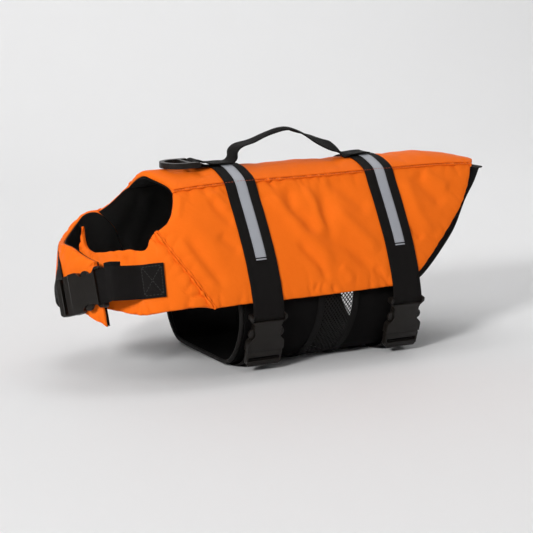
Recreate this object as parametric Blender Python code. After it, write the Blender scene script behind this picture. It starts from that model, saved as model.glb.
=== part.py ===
"""Dog life jacket, empty and filled out, standing on its belly panel.

The dog would face -X, its left side is -Y, and +Z is up.  Sizes are in millimetres until they are
placed.  The foam shell is one surface: "along" runs from the front girth strap round the chest
(positive) or to the tail (negative), and "around" is the distance down from the crest of the back.
"""
import math

import bpy
import bmesh
import numpy as np
from mathutils import Matrix

MM = 0.001
LEFT, RIGHT = -1, 1
ORIGIN = np.array([70.0, -1.35, 0.0])     # middle of the jacket's box, measured from the front strap
GAP = 0.3                                # between pieces that touch

# ---- driving sizes ---------------------------------------------------------------------------
WEBBING = 38.0                           # width of the girth and chest webbing
WEBBING_THICK = 1.5
TAPE = 13.0                              # width of the reflective tape
TAPE_THICK = 0.5
HANDLE_WIDTH = 26.0
FOAM = 7.0                               # thickness of a shell panel
LINING = 1.4
LINING_GAP = 0.4
STRAP_FRONT = 0.0                        # X of the girth straps' centre lines
STRAP_REAR = 182.5
BELLY_THICK = 4.0
BELLY_FRONT = -27.0
BELLY_REAR = 197.0

# Half section of the shell at the front strap, from the crest to the flap tips.
SECTION = [
    # half_width, height
    (0.0, 219.5),
    (15.0, 217.8),
    (30.0, 212.8),
    (42.0, 206.5),                       # seam between back and side
    (54.0, 189.5),
    (66.0, 172.0),
    (79.0, 152.0),
    (90.5, 133.0),
    (100.0, 113.0),
    (107.5, 95.0),
    (112.0, 80.0),                       # hem of the side panels
    (113.5, 66.0),
    (112.0, 52.0),
]
SEAM_ROW, HEM_ROW = 3, 10

# How the back and its seams rise and dip along the body.
LENGTH_LIFT = [
    # x, crest, seam
    (-95.0, 1.5, -5.0),
    (-47.0, 1.0, -1.7),
    (0.0, 0.0, 0.0),
    (90.0, 0.0, 0.5),
    (183.0, 0.5, 2.0),
    (262.0, 0.8, 3.0),
    (312.0, -5.0, 1.5),
    (350.0, -15.0, -2.0),
    (380.0, -24.0, -5.5),
]

# How far the hem line has turned in, seen from above, on its way from the tail round the chest.
HEM_TURN = [
    # along, degrees
    (-400.0, -6.2),
    (-260.0, -4.0),
    (-180.0, -2.4),
    (-90.0, -0.6),
    (0.0, 0.0),
    (65.0, 1.5),
    (95.0, 9.0),
    (121.0, 19.0),
    (147.0, 30.0),
    (172.0, 41.5),
    (198.0, 54.5),
    (228.0, 71.0),
    (261.0, 90.0),                       # the middle of the chest
    (294.0, 109.0),
    (324.0, 125.5),
    (360.0, 143.0),
]
SEAM_ROWS = 27                           # mesh rows along the seams of the back
NORMAL_SPAN = (3.0, 8.0)                 # the foam's depth is square to the shell over this far each way

# Pattern outlines: distance along and around the shell.
PRINCESS_SEAM = [(65.0, 189.5), (72.0, 178.0), (86.0, 153.0), (100.0, 133.0), (112.0, 116.0)]
TAIL_EDGE = [(-190.0, 186.0), (-205.0, 175.0), (-246.0, 140.0), (-280.0, 108.0), (-293.5, 95.0),
             (-308.0, 72.0), (-315.0, 61.0), (-321.0, 46.0)]
FLAP_HEM = [(65.0, 190.0), (80.0, 186.0), (121.0, 189.0), (147.0, 193.0), (178.0, 192.0)]
NECK_LEFT = [(90.5, 45.0), (92.6, 57.8), (96.7, 67.3), (104.5, 79.5), (114.5, 87.0), (129.0, 94.5)]
NECK_RIGHT = [(122.0, 45.0), (126.0, 58.0), (130.0, 69.0), (134.5, 79.0), (139.5, 85.9)]
NECK_BACK = [
    # around from the left seam to the right one, along
    (-45.0, 90.5),
    (-36.0, 90.0),
    (-29.0, 92.5),
    (-22.0, 103.0),
    (-12.0, 115.5),
    (0.0, 120.5),
    (20.0, 122.5),
    (45.0, 122.0),
]
FLAP_RIM_LEFT = [(129.0, 94.5), (136.8, 98.2), (141.0, 105.0), (142.5, 113.0), (149.0, 118.0),
                 (161.0, 117.3), (187.0, 119.7), (208.0, 122.2), (228.0, 125.0), (240.0, 121.0),
                 (248.0, 108.0), (253.0, 90.0)]
FLAP_RIM_RIGHT = [(139.5, 85.9), (150.3, 88.0), (162.0, 99.0), (174.0, 106.0), (188.0, 113.5),
                  (207.0, 118.5), (226.0, 119.5), (248.0, 118.0), (269.0, 118.5), (282.0, 123.5),
                  (300.0, 128.5), (314.0, 131.0)]
FLAP_END_LEFT = [(246.0, 190.0), (252.0, 160.0), (256.0, 125.0), (253.0, 90.0)]
FLAP_END_RIGHT = [(336.0, 208.0), (332.0, 187.0), (319.0, 155.0), (314.0, 131.0)]
FLAP_HEM_LEFT_END = [(215.0, 190.0), (246.0, 190.0)]
FLAP_HEM_RIGHT_END = [(215.0, 187.0), (262.0, 185.0), (290.0, 189.5), (311.0, 197.5), (336.0, 208.0)]

# Soft folds pressed into the outside of the shell: a ridge if height is positive.
FOLDS = [
    # side, along, around, slope_degrees, length, width, height
    (LEFT, -48.0, 92.0, 52.0, 46.0, 11.0, 2.2),
    (LEFT, -92.0, 112.0, 58.0, 50.0, 12.0, 2.4),
    (LEFT, -128.0, 90.0, 55.0, 40.0, 10.0, 2.0),
    (LEFT, -70.0, 158.0, 70.0, 26.0, 9.0, 1.8),
    (LEFT, 48.0, 120.0, 60.0, 44.0, 12.0, 2.2),
    (LEFT, 78.0, 92.0, 48.0, 24.0, 8.0, 1.6),
    (LEFT, -232.0, 96.0, 60.0, 36.0, 12.0, 1.8),
    (RIGHT, -60.0, 104.0, 56.0, 48.0, 12.0, 2.2),
    (RIGHT, -112.0, 120.0, 50.0, 42.0, 11.0, 2.2),
    (RIGHT, 46.0, 110.0, 62.0, 44.0, 12.0, 2.0),
    (RIGHT, -236.0, 90.0, 58.0, 34.0, 12.0, 1.8),
]
FOLD_FLAT, FOLD_FULL = 34.0, 52.0        # the girth straps press the folds flat out to here

# Half section of the belly panel's outer face, from its middle to its tucked upper edge.
BELLY_SECTION = [
    # half_width, height
    (0.0, 1.8),
    (30.0, 1.8),
    (50.0, 1.8),
    (57.0, 1.8),
    (63.0, 2.7),
    (71.0, 6.0),
    (82.0, 14.5),
    (93.0, 29.0),
    (100.0, 45.0),
    (103.0, 62.0),
    (101.5, 76.0),
    (96.5, 88.0),
]
BELLY_TAPER = 0.04                       # the belly panel is this share narrower at its rear edge
NET_SLANT = 28.0                         # the net runs this much further forward under the belly
NET_FRONT, NET_REAR = 62.0, 112.0        # its X at the hem

COLOURS = {
    "orange_oxford": (0.84, 0.17, 0.02, 0.62, 0.0),
    "black_lining": (0.008, 0.007, 0.006, 0.80, 0.0),
    "black_neoprene": (0.010, 0.009, 0.009, 0.85, 0.0),
    "black_net": (0.012, 0.012, 0.012, 0.75, 0.0),
    "black_webbing": (0.011, 0.010, 0.010, 0.72, 0.0),
    "reflective_tape": (0.30, 0.31, 0.34, 0.42, 0.10),
    "black_plastic": (0.028, 0.024, 0.022, 0.42, 0.0),
}


# ---- curves and grids ------------------------------------------------------------------------
def smooth(t):
    t = np.clip(t, 0.0, 1.0)
    return t * t * (3.0 - 2.0 * t)


def through(keys, rows, at):
    """Smooth curve through the rows, whose keys increase, read at the given keys."""
    keys = np.asarray(keys, float)
    rows = np.asarray(rows, float).reshape(len(keys), -1)
    at = np.asarray(at, float)
    slope = np.diff(rows, axis=0) / np.diff(keys)[:, None]
    inner = np.where(slope[1:] * slope[:-1] > 0.0, (slope[1:] + slope[:-1]) / 2.0, 0.0)
    tangent = np.vstack([slope[:1], inner, slope[-1:]])
    i = np.clip(np.searchsorted(keys, at, side="right") - 1, 0, len(keys) - 2)
    step = (keys[i + 1] - keys[i])[..., None]
    t = (at - keys[i])[..., None] / step
    return ((2 * t**3 - 3 * t**2 + 1) * rows[i] + (t**3 - 2 * t**2 + t) * step * tangent[i]
            + (3 * t**2 - 2 * t**3) * rows[i + 1] + (t**3 - t**2) * step * tangent[i + 1])


def run_lengths(points):
    points = np.asarray(points, float)
    return np.concatenate([[0.0], np.cumsum(np.linalg.norm(np.diff(points, axis=0), axis=1))])


def even_points(points, count, corners=()):
    """Count points spread evenly on the curve through the points, which turns sharply at corners."""
    points = np.asarray(points, float)
    at = run_lengths(points)
    keys = np.linspace(0.0, at[-1], count)
    for corner in corners:
        keys[np.argmin(abs(keys - at[corner]))] = at[corner]
    result = np.empty((count, points.shape[1]))
    breaks = [0, *corners, len(points) - 1]
    for a, b in zip(breaks, breaks[1:]):
        inside = (keys >= at[a] - 1e-9) & (keys <= at[b] + 1e-9)
        result[inside] = through(at[a:b + 1], points[a:b + 1], keys[inside])
    return result


def patch(top, bottom, start, end):
    """Coons patch in the pattern: top and bottom run from start to end, start and end go down."""
    u = np.linspace(0.0, 1.0, len(top))[:, None, None]
    v = np.linspace(0.0, 1.0, len(start))[None, :, None]
    ruled_v = (1 - v) * top[:, None] + v * bottom[:, None]
    ruled_u = (1 - u) * start[None] + u * end[None]
    corners = ((1 - u) * (1 - v) * top[0] + u * (1 - v) * top[-1]
               + (1 - u) * v * bottom[0] + u * v * bottom[-1])
    return ruled_v + ruled_u - corners


SECTION_AT = run_lengths(SECTION)
SEAM_AROUND, HEM_AROUND = SECTION_AT[SEAM_ROW], SECTION_AT[HEM_ROW]
HALF_SEAM, HALF_HEM = SECTION[SEAM_ROW][0], SECTION[HEM_ROW][0]


def hem_line():
    """The hem line at every millimetre: its distance along, angle, x and half width."""
    along = np.arange(HEM_TURN[0][0], HEM_TURN[-1][0] + 0.5)
    keys, degrees = zip(*HEM_TURN)
    angle = np.radians(through(keys, degrees, along)[:, 0])
    run = np.stack([-np.cos(angle), -np.sin(angle)], -1)
    points = np.concatenate([[[0.0, 0.0]], np.cumsum((run[1:] + run[:-1]) / 2.0, axis=0)])
    points -= points[np.argmin(abs(along))]
    return along, angle, points[:, 0], points[:, 1] + HALF_HEM


HEM_LINE = hem_line()


def plan_frame(along):
    """Point on the hem line seen from above, and the direction out of the body there."""
    at, angle, x, half_width = HEM_LINE
    turned = np.interp(along, at, angle)
    point = np.stack([np.interp(along, at, x), np.interp(along, at, half_width)], -1)
    return point, np.stack([-np.sin(turned), np.cos(turned)], -1)


def stand(side, along):
    """The right flap laps over the left one and stands up straighter round the chest."""
    if side == LEFT:
        return 1.0 - 0.8 * smooth((along - 200.0) / 60.0)
    return 1.0 - 0.8 * smooth((along - 116.0) / 50.0) + 0.25 * smooth((along - 245.0) / 50.0)


def tuck(side, along):
    """The left flap dives under the right one."""
    if side == LEFT:
        return 14.0 * smooth((along - 142.0) / 44.0)
    return np.zeros_like(along)


def base_point(side, along, around):
    """Point of the shell's outer face, before its folds."""
    plan, outward = plan_frame(along)
    section = through(SECTION_AT, SECTION, around)
    taper = np.where(along < 0.0, (plan[..., 1] - HALF_SEAM) / (HALF_HEM - HALF_SEAM), 1.0)
    in_from_hem = (np.maximum(section[..., 0], HALF_SEAM) - HALF_HEM) * taper * stand(side, along)
    offset = in_from_hem - tuck(side, along)
    x = plan[..., 0] + outward[..., 0] * offset
    y = (plan[..., 1] + outward[..., 1] * offset) * np.where(
        around < SEAM_AROUND, section[..., 0] / HALF_SEAM, 1.0)
    keys = [row[0] for row in LENGTH_LIFT]
    lift = through(keys, [row[1:] for row in LENGTH_LIFT], np.clip(-along, keys[0], keys[-1]))
    on_back = lift[..., 0] + (lift[..., 1] - lift[..., 0]) * around / SEAM_AROUND
    on_side = lift[..., 1] * np.clip((HEM_AROUND - around) / (HEM_AROUND - SEAM_AROUND), 0.0, 1.0)
    z = section[..., 1] + np.where(around < SEAM_AROUND, on_back, on_side)
    return np.stack([x, y, z], -1)


def folds(side, along, around):
    height = np.zeros_like(along)
    for fold_side, at, down, slope, length, width, rise in FOLDS:
        if fold_side != side:
            continue
        c, s = math.cos(math.radians(slope)), math.sin(math.radians(slope))
        run = (at - along) * c + (around - down) * s
        off = -(at - along) * s + (around - down) * c
        height += rise * np.exp(-((run / length) ** 2) - (off / width) ** 2)
    for strap in (STRAP_FRONT, STRAP_REAR):
        height *= smooth((abs(-along - strap) - FOLD_FLAT) / (FOLD_FULL - FOLD_FLAT))
    return height


def shell_points(pattern, side, out=0.0, folded=False):
    """World points, in millimetres, of pattern points moved out of the shell by a distance."""
    along, signed = pattern[..., 0], pattern[..., 1]
    run, drop = NORMAL_SPAN

    def point(along, signed):
        flat = base_point(side, along, abs(signed))
        flat[..., 1] *= np.where(signed < 0.0, -side, side)
        return flat

    here = point(along, signed)
    d_along = point(along + run, signed) - point(along - run, signed)
    d_around = point(along, signed + drop) - point(along, signed - drop)
    normal = np.cross(d_around, d_along) * side
    normal /= np.linalg.norm(normal, axis=-1, keepdims=True)
    rise = out + (folds(side, along, signed) if folded else 0.0)
    return here + normal * np.asarray(rise)[..., None]


# ---- objects ---------------------------------------------------------------------------------
def clear_scene():
    for old in list(bpy.data.objects):
        bpy.data.objects.remove(old, do_unlink=True)


def new_collection(name):
    collection = bpy.data.collections.new(name)
    bpy.context.scene.collection.children.link(collection)
    return collection


def material(name, node_name):
    red, green, blue, rough, metal = COLOURS[name]
    mat = bpy.data.materials.new(f"{node_name}_{name}")
    mat.use_nodes = True
    shader = mat.node_tree.nodes["Principled BSDF"]
    shader.inputs["Base Color"].default_value = (red, green, blue, 1.0)
    shader.inputs["Roughness"].default_value = rough
    shader.inputs["Metallic"].default_value = metal
    mat.diffuse_color = (red, green, blue, 1.0)
    return mat


def add_object(name, mesh, colour):
    obj = bpy.data.objects.new(name, mesh)
    mesh.materials.append(material(colour, name))
    jacket.objects.link(obj)
    return obj


def mesh_from(name, points, faces, outward=True):
    """A mesh in metres from points in millimetres; its normals are made to face out."""
    mesh = bpy.data.meshes.new(name)
    mesh.from_pydata(((np.asarray(points) - ORIGIN) * MM).tolist(), [], faces)
    bm = bmesh.new()
    bm.from_mesh(mesh)
    bmesh.ops.recalc_face_normals(bm, faces=bm.faces)
    if (bm.calc_volume(signed=True) < 0.0) == outward:
        bmesh.ops.reverse_faces(bm, faces=bm.faces)
    bm.to_mesh(mesh)
    bm.free()
    mesh.shade_smooth()
    mesh.set_sharp_from_angle(angle=math.radians(40.0))
    return mesh


def sheet_solid(name, outer, inner, colour):
    """Closed solid between two grids of the same size, split into the same triangles."""
    n, m = outer.shape[:2]
    points = np.concatenate([outer.reshape(-1, 3), inner.reshape(-1, 3)])
    index = np.arange(n * m).reshape(n, m)
    faces = []
    for i in range(n - 1):
        for j in range(m - 1):
            for triangle in ([index[i, j], index[i + 1, j], index[i + 1, j + 1]],
                             [index[i, j], index[i + 1, j + 1], index[i, j + 1]]):
                faces.append(triangle)
                faces.append([k + n * m for k in reversed(triangle)])
    rim = ([index[i, 0] for i in range(n)] + [index[-1, j] for j in range(1, m)]
           + [index[i, -1] for i in range(n - 2, -1, -1)] + [index[0, j] for j in range(m - 2, 0, -1)])
    for a, b in zip(rim, rim[1:] + rim[:1]):
        if a < b:
            faces += [[b, a, b + n * m], [a, a + n * m, b + n * m]]
        else:
            faces += [[b, a, a + n * m], [b, a + n * m, b + n * m]]
    faces = [[int(k) for k in face] for face in faces]
    return add_object(name, mesh_from(name, points, faces), colour)


def ribbon(name, middle, half, out, thick, colour):
    """A flat webbing: centre points on its inner face, half its width as vectors, and its outside."""
    rings = np.stack([middle - half, middle + half, middle + half + out * thick,
                      middle - half + out * thick], 1)
    count = len(middle)
    faces = []
    for i in range(count - 1):
        for k in range(4):
            faces.append([i * 4 + k, i * 4 + (k + 1) % 4, i * 4 + (k + 1) % 4 + 4, i * 4 + k + 4])
    faces += [[3, 2, 1, 0], [(count - 1) * 4 + k for k in range(4)]]
    return add_object(name, mesh_from(name, rings.reshape(-1, 3), faces), colour)


# ---- shell: back, sides, flaps and their lining ----------------------------------------------
def shell_piece(name, pattern, side, lining_name, lining_extra=0.0):
    """A foam panel and the black lining behind it, which may reach past the panel's last row."""
    sheet_solid(name, shell_points(pattern, side, folded=True),
                shell_points(pattern, side, -FOAM), "orange_oxford")
    wide = pattern.copy()
    wide[-1, :, 0] -= lining_extra
    wide[:, 0, 1] += LINING_GAP
    wide[:, -1, 1] -= LINING_GAP
    sheet_solid(lining_name, shell_points(wide, side, -FOAM - LINING_GAP),
                shell_points(wide, side, -FOAM - LINING_GAP - LINING), "black_lining")


def build_side(side, neck, name_side):
    """Side panel: from the neck and the princess seam back to the tail, seam to hem."""
    half = GAP / 2.0
    seam = SEAM_AROUND + half
    princess = [(along - half, around) for along, around in PRINCESS_SEAM] + [
        (neck[-1][0] - half, neck[-1][1])]
    neck_line = even_points([princess[-1]] + neck[-2:0:-1] + [(neck[0][0], seam)], 7)
    seam_line = np.full((SEAM_ROWS, 2), seam)
    seam_line[:, 0] = np.linspace(neck[0][0], TAIL_EDGE[-1][0], SEAM_ROWS)
    top_line = np.concatenate([neck_line[:-1], seam_line])
    bottom = [princess[0], (30.0, 188.3), (-60.0, 188.5), (-150.0, 187.5), (-174.0, 187.5),
              TAIL_EDGE[0]]
    bottom_line = even_points(bottom, len(top_line))
    start = even_points(princess[::-1], 10)
    end = even_points(TAIL_EDGE[::-1], 10)
    end[0] = top_line[-1]
    grid = patch(top_line, bottom_line, start, end)
    down = np.linspace(0.0, 1.0, 10)
    extra = 15.0 * (1.0 - smooth(down / 0.24)) + 8.0 * smooth((down - 0.33) / 0.2)
    shell_piece(f"side_panel_{name_side}", grid, side, f"lining_side_{name_side}", extra)


def build_flap(side, neck, rim, end, hem_end, name_side):
    """Chest flap: from the princess seam round the front."""
    half = GAP / 2.0
    princess = [(along + half, around) for along, around in PRINCESS_SEAM] + [
        (neck[-1][0] + half, neck[-1][1])]
    rim_line = even_points([princess[-1]] + rim[1:], 23)
    hem_line = even_points([princess[0]] + FLAP_HEM[1:] + hem_end, 23)
    start = even_points(princess[::-1], 10)
    finish = even_points(end[::-1], 10)
    grid = patch(rim_line, hem_line, start, finish)
    shell_piece(f"chest_flap_{name_side}", grid, side, f"lining_flap_{name_side}")


def build_back():
    """Back panel: seam to seam over the crest, from the neck to the tail."""
    seam = SEAM_AROUND - GAP / 2.0
    across = np.linspace(-seam, seam, 9)
    around, along = zip(*NECK_BACK)
    neck = through(around, along, across)[:, 0]
    neck[[0, -1]] = NECK_LEFT[0][0], NECK_RIGHT[0][0]
    tail = TAIL_EDGE[-1][0] - 22.0 * (1.0 - (across / seam) ** 2)
    grid = np.zeros((SEAM_ROWS, 9, 2))
    for j in range(9):
        grid[:, j, 0] = np.linspace(neck[j], tail[j], SEAM_ROWS)
        grid[:, j, 1] = across[j]
    extra = 15.0 + 2.0 * (1.0 - (across / seam) ** 2)
    shell_piece("back_panel", grid, RIGHT, "lining_back", extra)


# ---- belly -----------------------------------------------------------------------------------
def belly_points(x, around, out=0.0):
    """Outer face of the belly panel: around is the distance from its middle, left negative."""
    at = run_lengths(BELLY_SECTION)
    yz = through(at, BELLY_SECTION, abs(around))
    step = through(at, BELLY_SECTION, abs(around) + 0.5) - through(at, BELLY_SECTION, abs(around) - 0.5)
    step[abs(around) < 1.0] = (1.0, 0.0)
    step /= np.linalg.norm(step, axis=-1, keepdims=True)
    narrow = 1.0 - BELLY_TAPER * smooth((x - STRAP_FRONT - 40.0) / (BELLY_REAR - 60.0))
    sign = np.where(around < 0.0, -1.0, 1.0)
    y = sign * (yz[..., 0] * narrow + step[..., 1] * out)
    return np.stack([x, y, yz[..., 1] - step[..., 0] * out], -1)


def net_edge(x_at_hem, around):
    """X of a net edge: it slants forward towards the middle of the belly."""
    top = run_lengths(BELLY_SECTION)[-1]
    return x_at_hem - NET_SLANT * (1.0 - abs(around) / top)


def build_belly():
    top = run_lengths(BELLY_SECTION)[-1]
    around = np.linspace(-top, top, 27)
    front, rear = np.full_like(around, BELLY_FRONT + 3.0), np.full_like(around, BELLY_REAR)
    first, last = net_edge(NET_FRONT, around), net_edge(NET_REAR, around)
    for name, lo, hi, columns, thick, colour in (
            ("belly_front", front, first - GAP / 2.0, 4, BELLY_THICK, "black_neoprene"),
            ("belly_net", first + GAP / 2.0, last - GAP / 2.0, 3, 1.6, "black_net"),
            ("belly_rear", last + GAP / 2.0, rear, 4, BELLY_THICK, "black_neoprene")):
        share = np.linspace(0.0, 1.0, columns)[:, None]
        x = lo + (hi - lo) * share
        ways = np.broadcast_to(around, x.shape)
        sheet_solid(name, belly_points(x, ways), belly_points(x, ways, -thick), colour)
    ring = np.array([(3.0 - GAP, -BELLY_THICK), (-1.5, -BELLY_THICK - 0.8), (-3.0, -BELLY_THICK / 2.0),
                     (-1.5, 0.2), (3.0 - GAP, -0.1)])           # x and offset of the binding's section
    rings = np.array([belly_points(BELLY_FRONT + np.full_like(around, dx), around, out)
                      for dx, out in ring]).transpose(1, 0, 2)
    count, k = rings.shape[:2]
    faces = [[i * k + a, i * k + (a + 1) % k, (i + 1) * k + (a + 1) % k, (i + 1) * k + a]
             for i in range(count - 1) for a in range(k)]
    faces += [list(range(k - 1, -1, -1)), [(count - 1) * k + a for a in range(k)]]
    add_object("belly_binding", mesh_from("belly_binding", rings.reshape(-1, 3), faces), "black_webbing")


# ---- webbing ---------------------------------------------------------------------------------
STRAP_FOOT = [
    # half_width, height: down the right side and under the belly
    (110.5, 60.0),
    (106.0, 44.0),
    (98.5, 28.5),
    (88.0, 14.5),
    (75.0, 5.0),
    (60.0, WEBBING_THICK),
    (40.0, WEBBING_THICK),
    (0.0, WEBBING_THICK),
    (-40.0, WEBBING_THICK),
    (-60.0, WEBBING_THICK),
    (-74.0, 4.4),
    (-85.0, 10.5),
]
STRAP_END = 202.0                        # around, where the left end enters its buckle
BUCKLE_DOWN = np.array([0.0, 0.26, -0.9656])   # a girth buckle hangs in towards the belly
BUCKLE_OUT = np.array([0.0, -0.9656, -0.26])


STRAP_STEPS = (12, 9)                    # mesh steps beside the tape and below its end
TAPE_END = 138.5                         # around, where the reflective tape stops


def strap_ways():
    """Distances around the shell of a girth strap's points, from the left over the crest."""
    def down(end):
        return np.concatenate([np.linspace(SEAM_AROUND, TAPE_END, STRAP_STEPS[0])[1:],
                               np.linspace(TAPE_END, end, STRAP_STEPS[1])[1:]])
    return np.concatenate([-down(STRAP_END)[::-1], np.linspace(-SEAM_AROUND, SEAM_AROUND, 13),
                           down(HEM_AROUND + 4.0)])


def strap_on_side(x, ways):
    points = shell_points(np.stack([np.full_like(ways, -x), ways], -1), RIGHT, GAP)
    points[:, 0] = x
    return points


def strap_line(x):
    """Centre of a girth strap's inner face, half its width as a vector, and its buckle's corner."""
    ways = strap_ways()
    edges = [strap_on_side(x + dx, ways) for dx in (-WEBBING / 2.0, WEBBING / 2.0)]
    upper = (edges[0] + edges[1]) / 2.0
    square = np.array([WEBBING / 2.0, 0.0, 0.0])
    off_shell = smooth((-ways - HEM_AROUND) / 8.0)[:, None]
    across = (edges[1] - edges[0]) / 2.0 * (1.0 - off_shell) + square * off_shell
    entry = upper[0]
    end_bar = entry + BUCKLE_DOWN * BUCKLE["channel"]
    through_bar = [tuple((end_bar - BUCKLE_OUT * 7.0)[1:]), tuple((end_bar + BUCKLE_OUT * 1.5)[1:])]
    foot = even_points(STRAP_FOOT + through_bar, 30, corners=(5, 9))
    foot[abs(foot[:, 0]) < 60.0, 1] = WEBBING_THICK
    lower = np.stack([np.full(len(foot), x), foot[:, 0], foot[:, 1]], -1)
    line = np.concatenate([[entry + BUCKLE_DOWN * 6.4], upper, lower])
    return line, np.concatenate([[square], across, np.tile(square, (len(foot), 1))]), entry


def out_of_line(points):
    """Unit directions square to a line in the YZ plane, pointing out of the body."""
    run = np.gradient(points, axis=0)
    run /= np.linalg.norm(run, axis=1, keepdims=True)
    return np.stack([np.zeros(len(run)), -run[:, 2], run[:, 1]], -1)


def build_girth_strap(x, place):
    line, half_width, entry = strap_line(x)
    out = out_of_line(line)
    out[(abs(line[:, 1]) < 60.5) & (line[:, 2] < 10.0)] = (0.0, 0.0, -1.0)
    ribbon(f"girth_strap_{place}", line, half_width, out, WEBBING_THICK, "black_webbing")
    taped = np.flatnonzero(abs(strap_ways()) <= TAPE_END + 0.01) + 1
    ribbon(f"reflective_tape_{place}", line[taped] + out[taped] * (WEBBING_THICK + GAP),
           half_width[taped] * TAPE / WEBBING, out[taped], TAPE_THICK, "reflective_tape")
    build_buckle(place, frame_from(entry - BUCKLE_OUT * BUCKLE["strap_seat"], BUCKLE_DOWN, BUCKLE_OUT))


def build_handle():
    """One webbing: round the ring's bar, back along the crest, and up as the grab handle."""
    top = 223.4                                           # webbing's middle over the front strap
    bar_x, bar_z, turn = RING["bar_x"], RING["bar_z"], RING["turn"]
    loop = [(bar_x + turn * math.cos(a), bar_z + turn * math.sin(a))
            for a in np.radians(np.linspace(-90.0, -270.0, 7))]
    path = [(-21.5, bar_z - turn), (-28.0, bar_z - turn)] + loop + [
        # x, height of the webbing's middle
        (-29.0, bar_z + turn - 1.6),
        (-19.5, top + 0.6),
        (0.0, top),
        (8.5, top + 0.6),
        (12.6, top + 4.6),
        (13.4, top + 11.5),
        (18.0, top + 16.4),
        (38.0, top + 22.2),
        (60.0, top + 29.8),
        (80.0, top + 33.2),
        (98.0, top + 28.8),
        (118.0, top + 20.0),
        (138.0, top + 11.4),
        (149.0, top + 7.6),
        (155.0, top + 2.0),
        (163.0, top + 0.5),
        (190.0, top + 0.5),
    ]
    line = even_points(path, 96)
    middle = np.stack([line[:, 0], np.zeros(len(line)), line[:, 1]], -1)
    run = np.gradient(middle, axis=0)
    run /= np.linalg.norm(run, axis=1, keepdims=True)
    out = np.stack([-run[:, 2], np.zeros(len(run)), run[:, 0]], -1)
    half = np.zeros_like(middle)
    middle_span = 1.0 - smooth((abs(line[:, 0] - 80.0) - 30.0) / 30.0)
    half[:, 1] = (HANDLE_WIDTH - 8.0 * middle_span) / 2.0 - smooth((-line[:, 0] - 5.0) / 15.0)
    ribbon("handle", middle - out * WEBBING_THICK / 2.0, half, out, WEBBING_THICK, "black_webbing")


def shell_route(route, side, count):
    """Points of a chest webbing's inner face, and directions across it, riding off the shell."""
    rows = even_points(route, count)
    points = shell_points(rows[:, :2], side, rows[:, 2])
    normal = shell_points(rows[:, :2], side, rows[:, 2] + 1.0) - points
    across = np.cross(normal, np.gradient(points, axis=0))
    return points, across / np.linalg.norm(across, axis=1, keepdims=True)


def build_chest_strap(name, points, across, pinch):
    """Webbing on the smooth line through the points, turned to lie across as given."""
    at = run_lengths(points)
    keys = np.sort(np.concatenate([at, (at[1:] + at[:-1]) / 2.0]))
    line = through(at, points, keys)
    across = np.stack([np.interp(keys, at, across[:, k]) for k in range(3)], -1)
    run = np.gradient(line, axis=0)
    run /= np.linalg.norm(run, axis=1, keepdims=True)
    across -= run * np.sum(across * run, axis=1, keepdims=True)
    across /= np.linalg.norm(across, axis=1, keepdims=True)
    half = (WEBBING - pinch * smooth((keys - keys[-1] + 62.0) / 40.0)) / 2.0
    ribbon(name, line, across * half[:, None], np.cross(run, across), WEBBING_THICK, "black_webbing")


# ---- buckles ---------------------------------------------------------------------------------
BUCKLE = {
    "half_width": 22.5, "length": 62.5, "thick": 9.0, "socket": 43.5, "waist": 16.5,
    "slot": 4.4, "fork": 3.6, "strap_seat": 0.9, "channel": 54.0,
}
CHEST_BUCKLE = [(186.0, 169.0), (273.0, 185.0)]      # along and around of its left and right ends
CHEST_RIDE = 12.8                        # its middle plane's height off the lapped flaps
CHEST_SLANT = 20.0                       # degrees between the right webbing and the buckle
CHEST_PINCH = 8.0                        # how much narrower that webbing is where it enters
CHEST_LEFT = [
    # along, around, height off the shell
    (120.0, 152.5, 0.8),
    (132.0, 153.2, 0.8),
    (147.0, 155.0, 0.8),
]
CHEST_RIGHT = [
    # along, around, height off the shell
    (120.0, 152.5, 0.8),
    (150.0, 148.5, 0.8),
    (190.0, 145.0, 0.8),
    (218.0, 146.5, 0.8),
    (237.0, 155.5, 1.2),
    (251.0, 167.5, 2.6),
    (259.0, 173.5, 3.8),
    (266.5, 178.0, 5.0),
]


def outline_solid(name, outline, low, high):
    """Prism of a closed outline in the u, v plane."""
    n = len(outline)
    points = [(u, v, low) for u, v in outline] + [(u, v, high) for u, v in outline]
    faces = [list(range(n - 1, -1, -1)), list(range(n, 2 * n))]
    faces += [[k, (k + 1) % n, n + (k + 1) % n, n + k] for k in range(n)]
    mesh = bpy.data.meshes.new(name)
    mesh.from_pydata([[c * MM for c in p] for p in points], [], faces)
    bm = bmesh.new()
    bm.from_mesh(mesh)
    bmesh.ops.recalc_face_normals(bm, faces=bm.faces)
    bm.to_mesh(mesh)
    bm.free()
    return mesh


def mirror_outline(half):
    return half + [(-u, v) for u, v in reversed(half)]


def arc(u, v, radius, start, stop, steps):
    angles = np.radians(np.linspace(start, stop, steps))
    return [(u + radius * math.cos(a), v + radius * math.sin(a)) for a in angles]


def guide(name, mesh):
    """An unseen object that cuts another or is joined to it."""
    obj = bpy.data.objects.new(name, mesh)
    cutters.objects.link(obj)
    obj.hide_render = True
    obj.display_type = "WIRE"
    return obj


def cutter_box(name, u0, u1, v0, v1, w0, w1):
    return guide(name, outline_solid(name, [(u0, v0), (u1, v0), (u1, v1), (u0, v1)], w0, w1))


def boolean(obj, other, operation):
    modifier = obj.modifiers.new("boolean", "BOOLEAN")
    modifier.operation = operation
    modifier.solver = "EXACT"
    modifier.object = other


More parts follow.
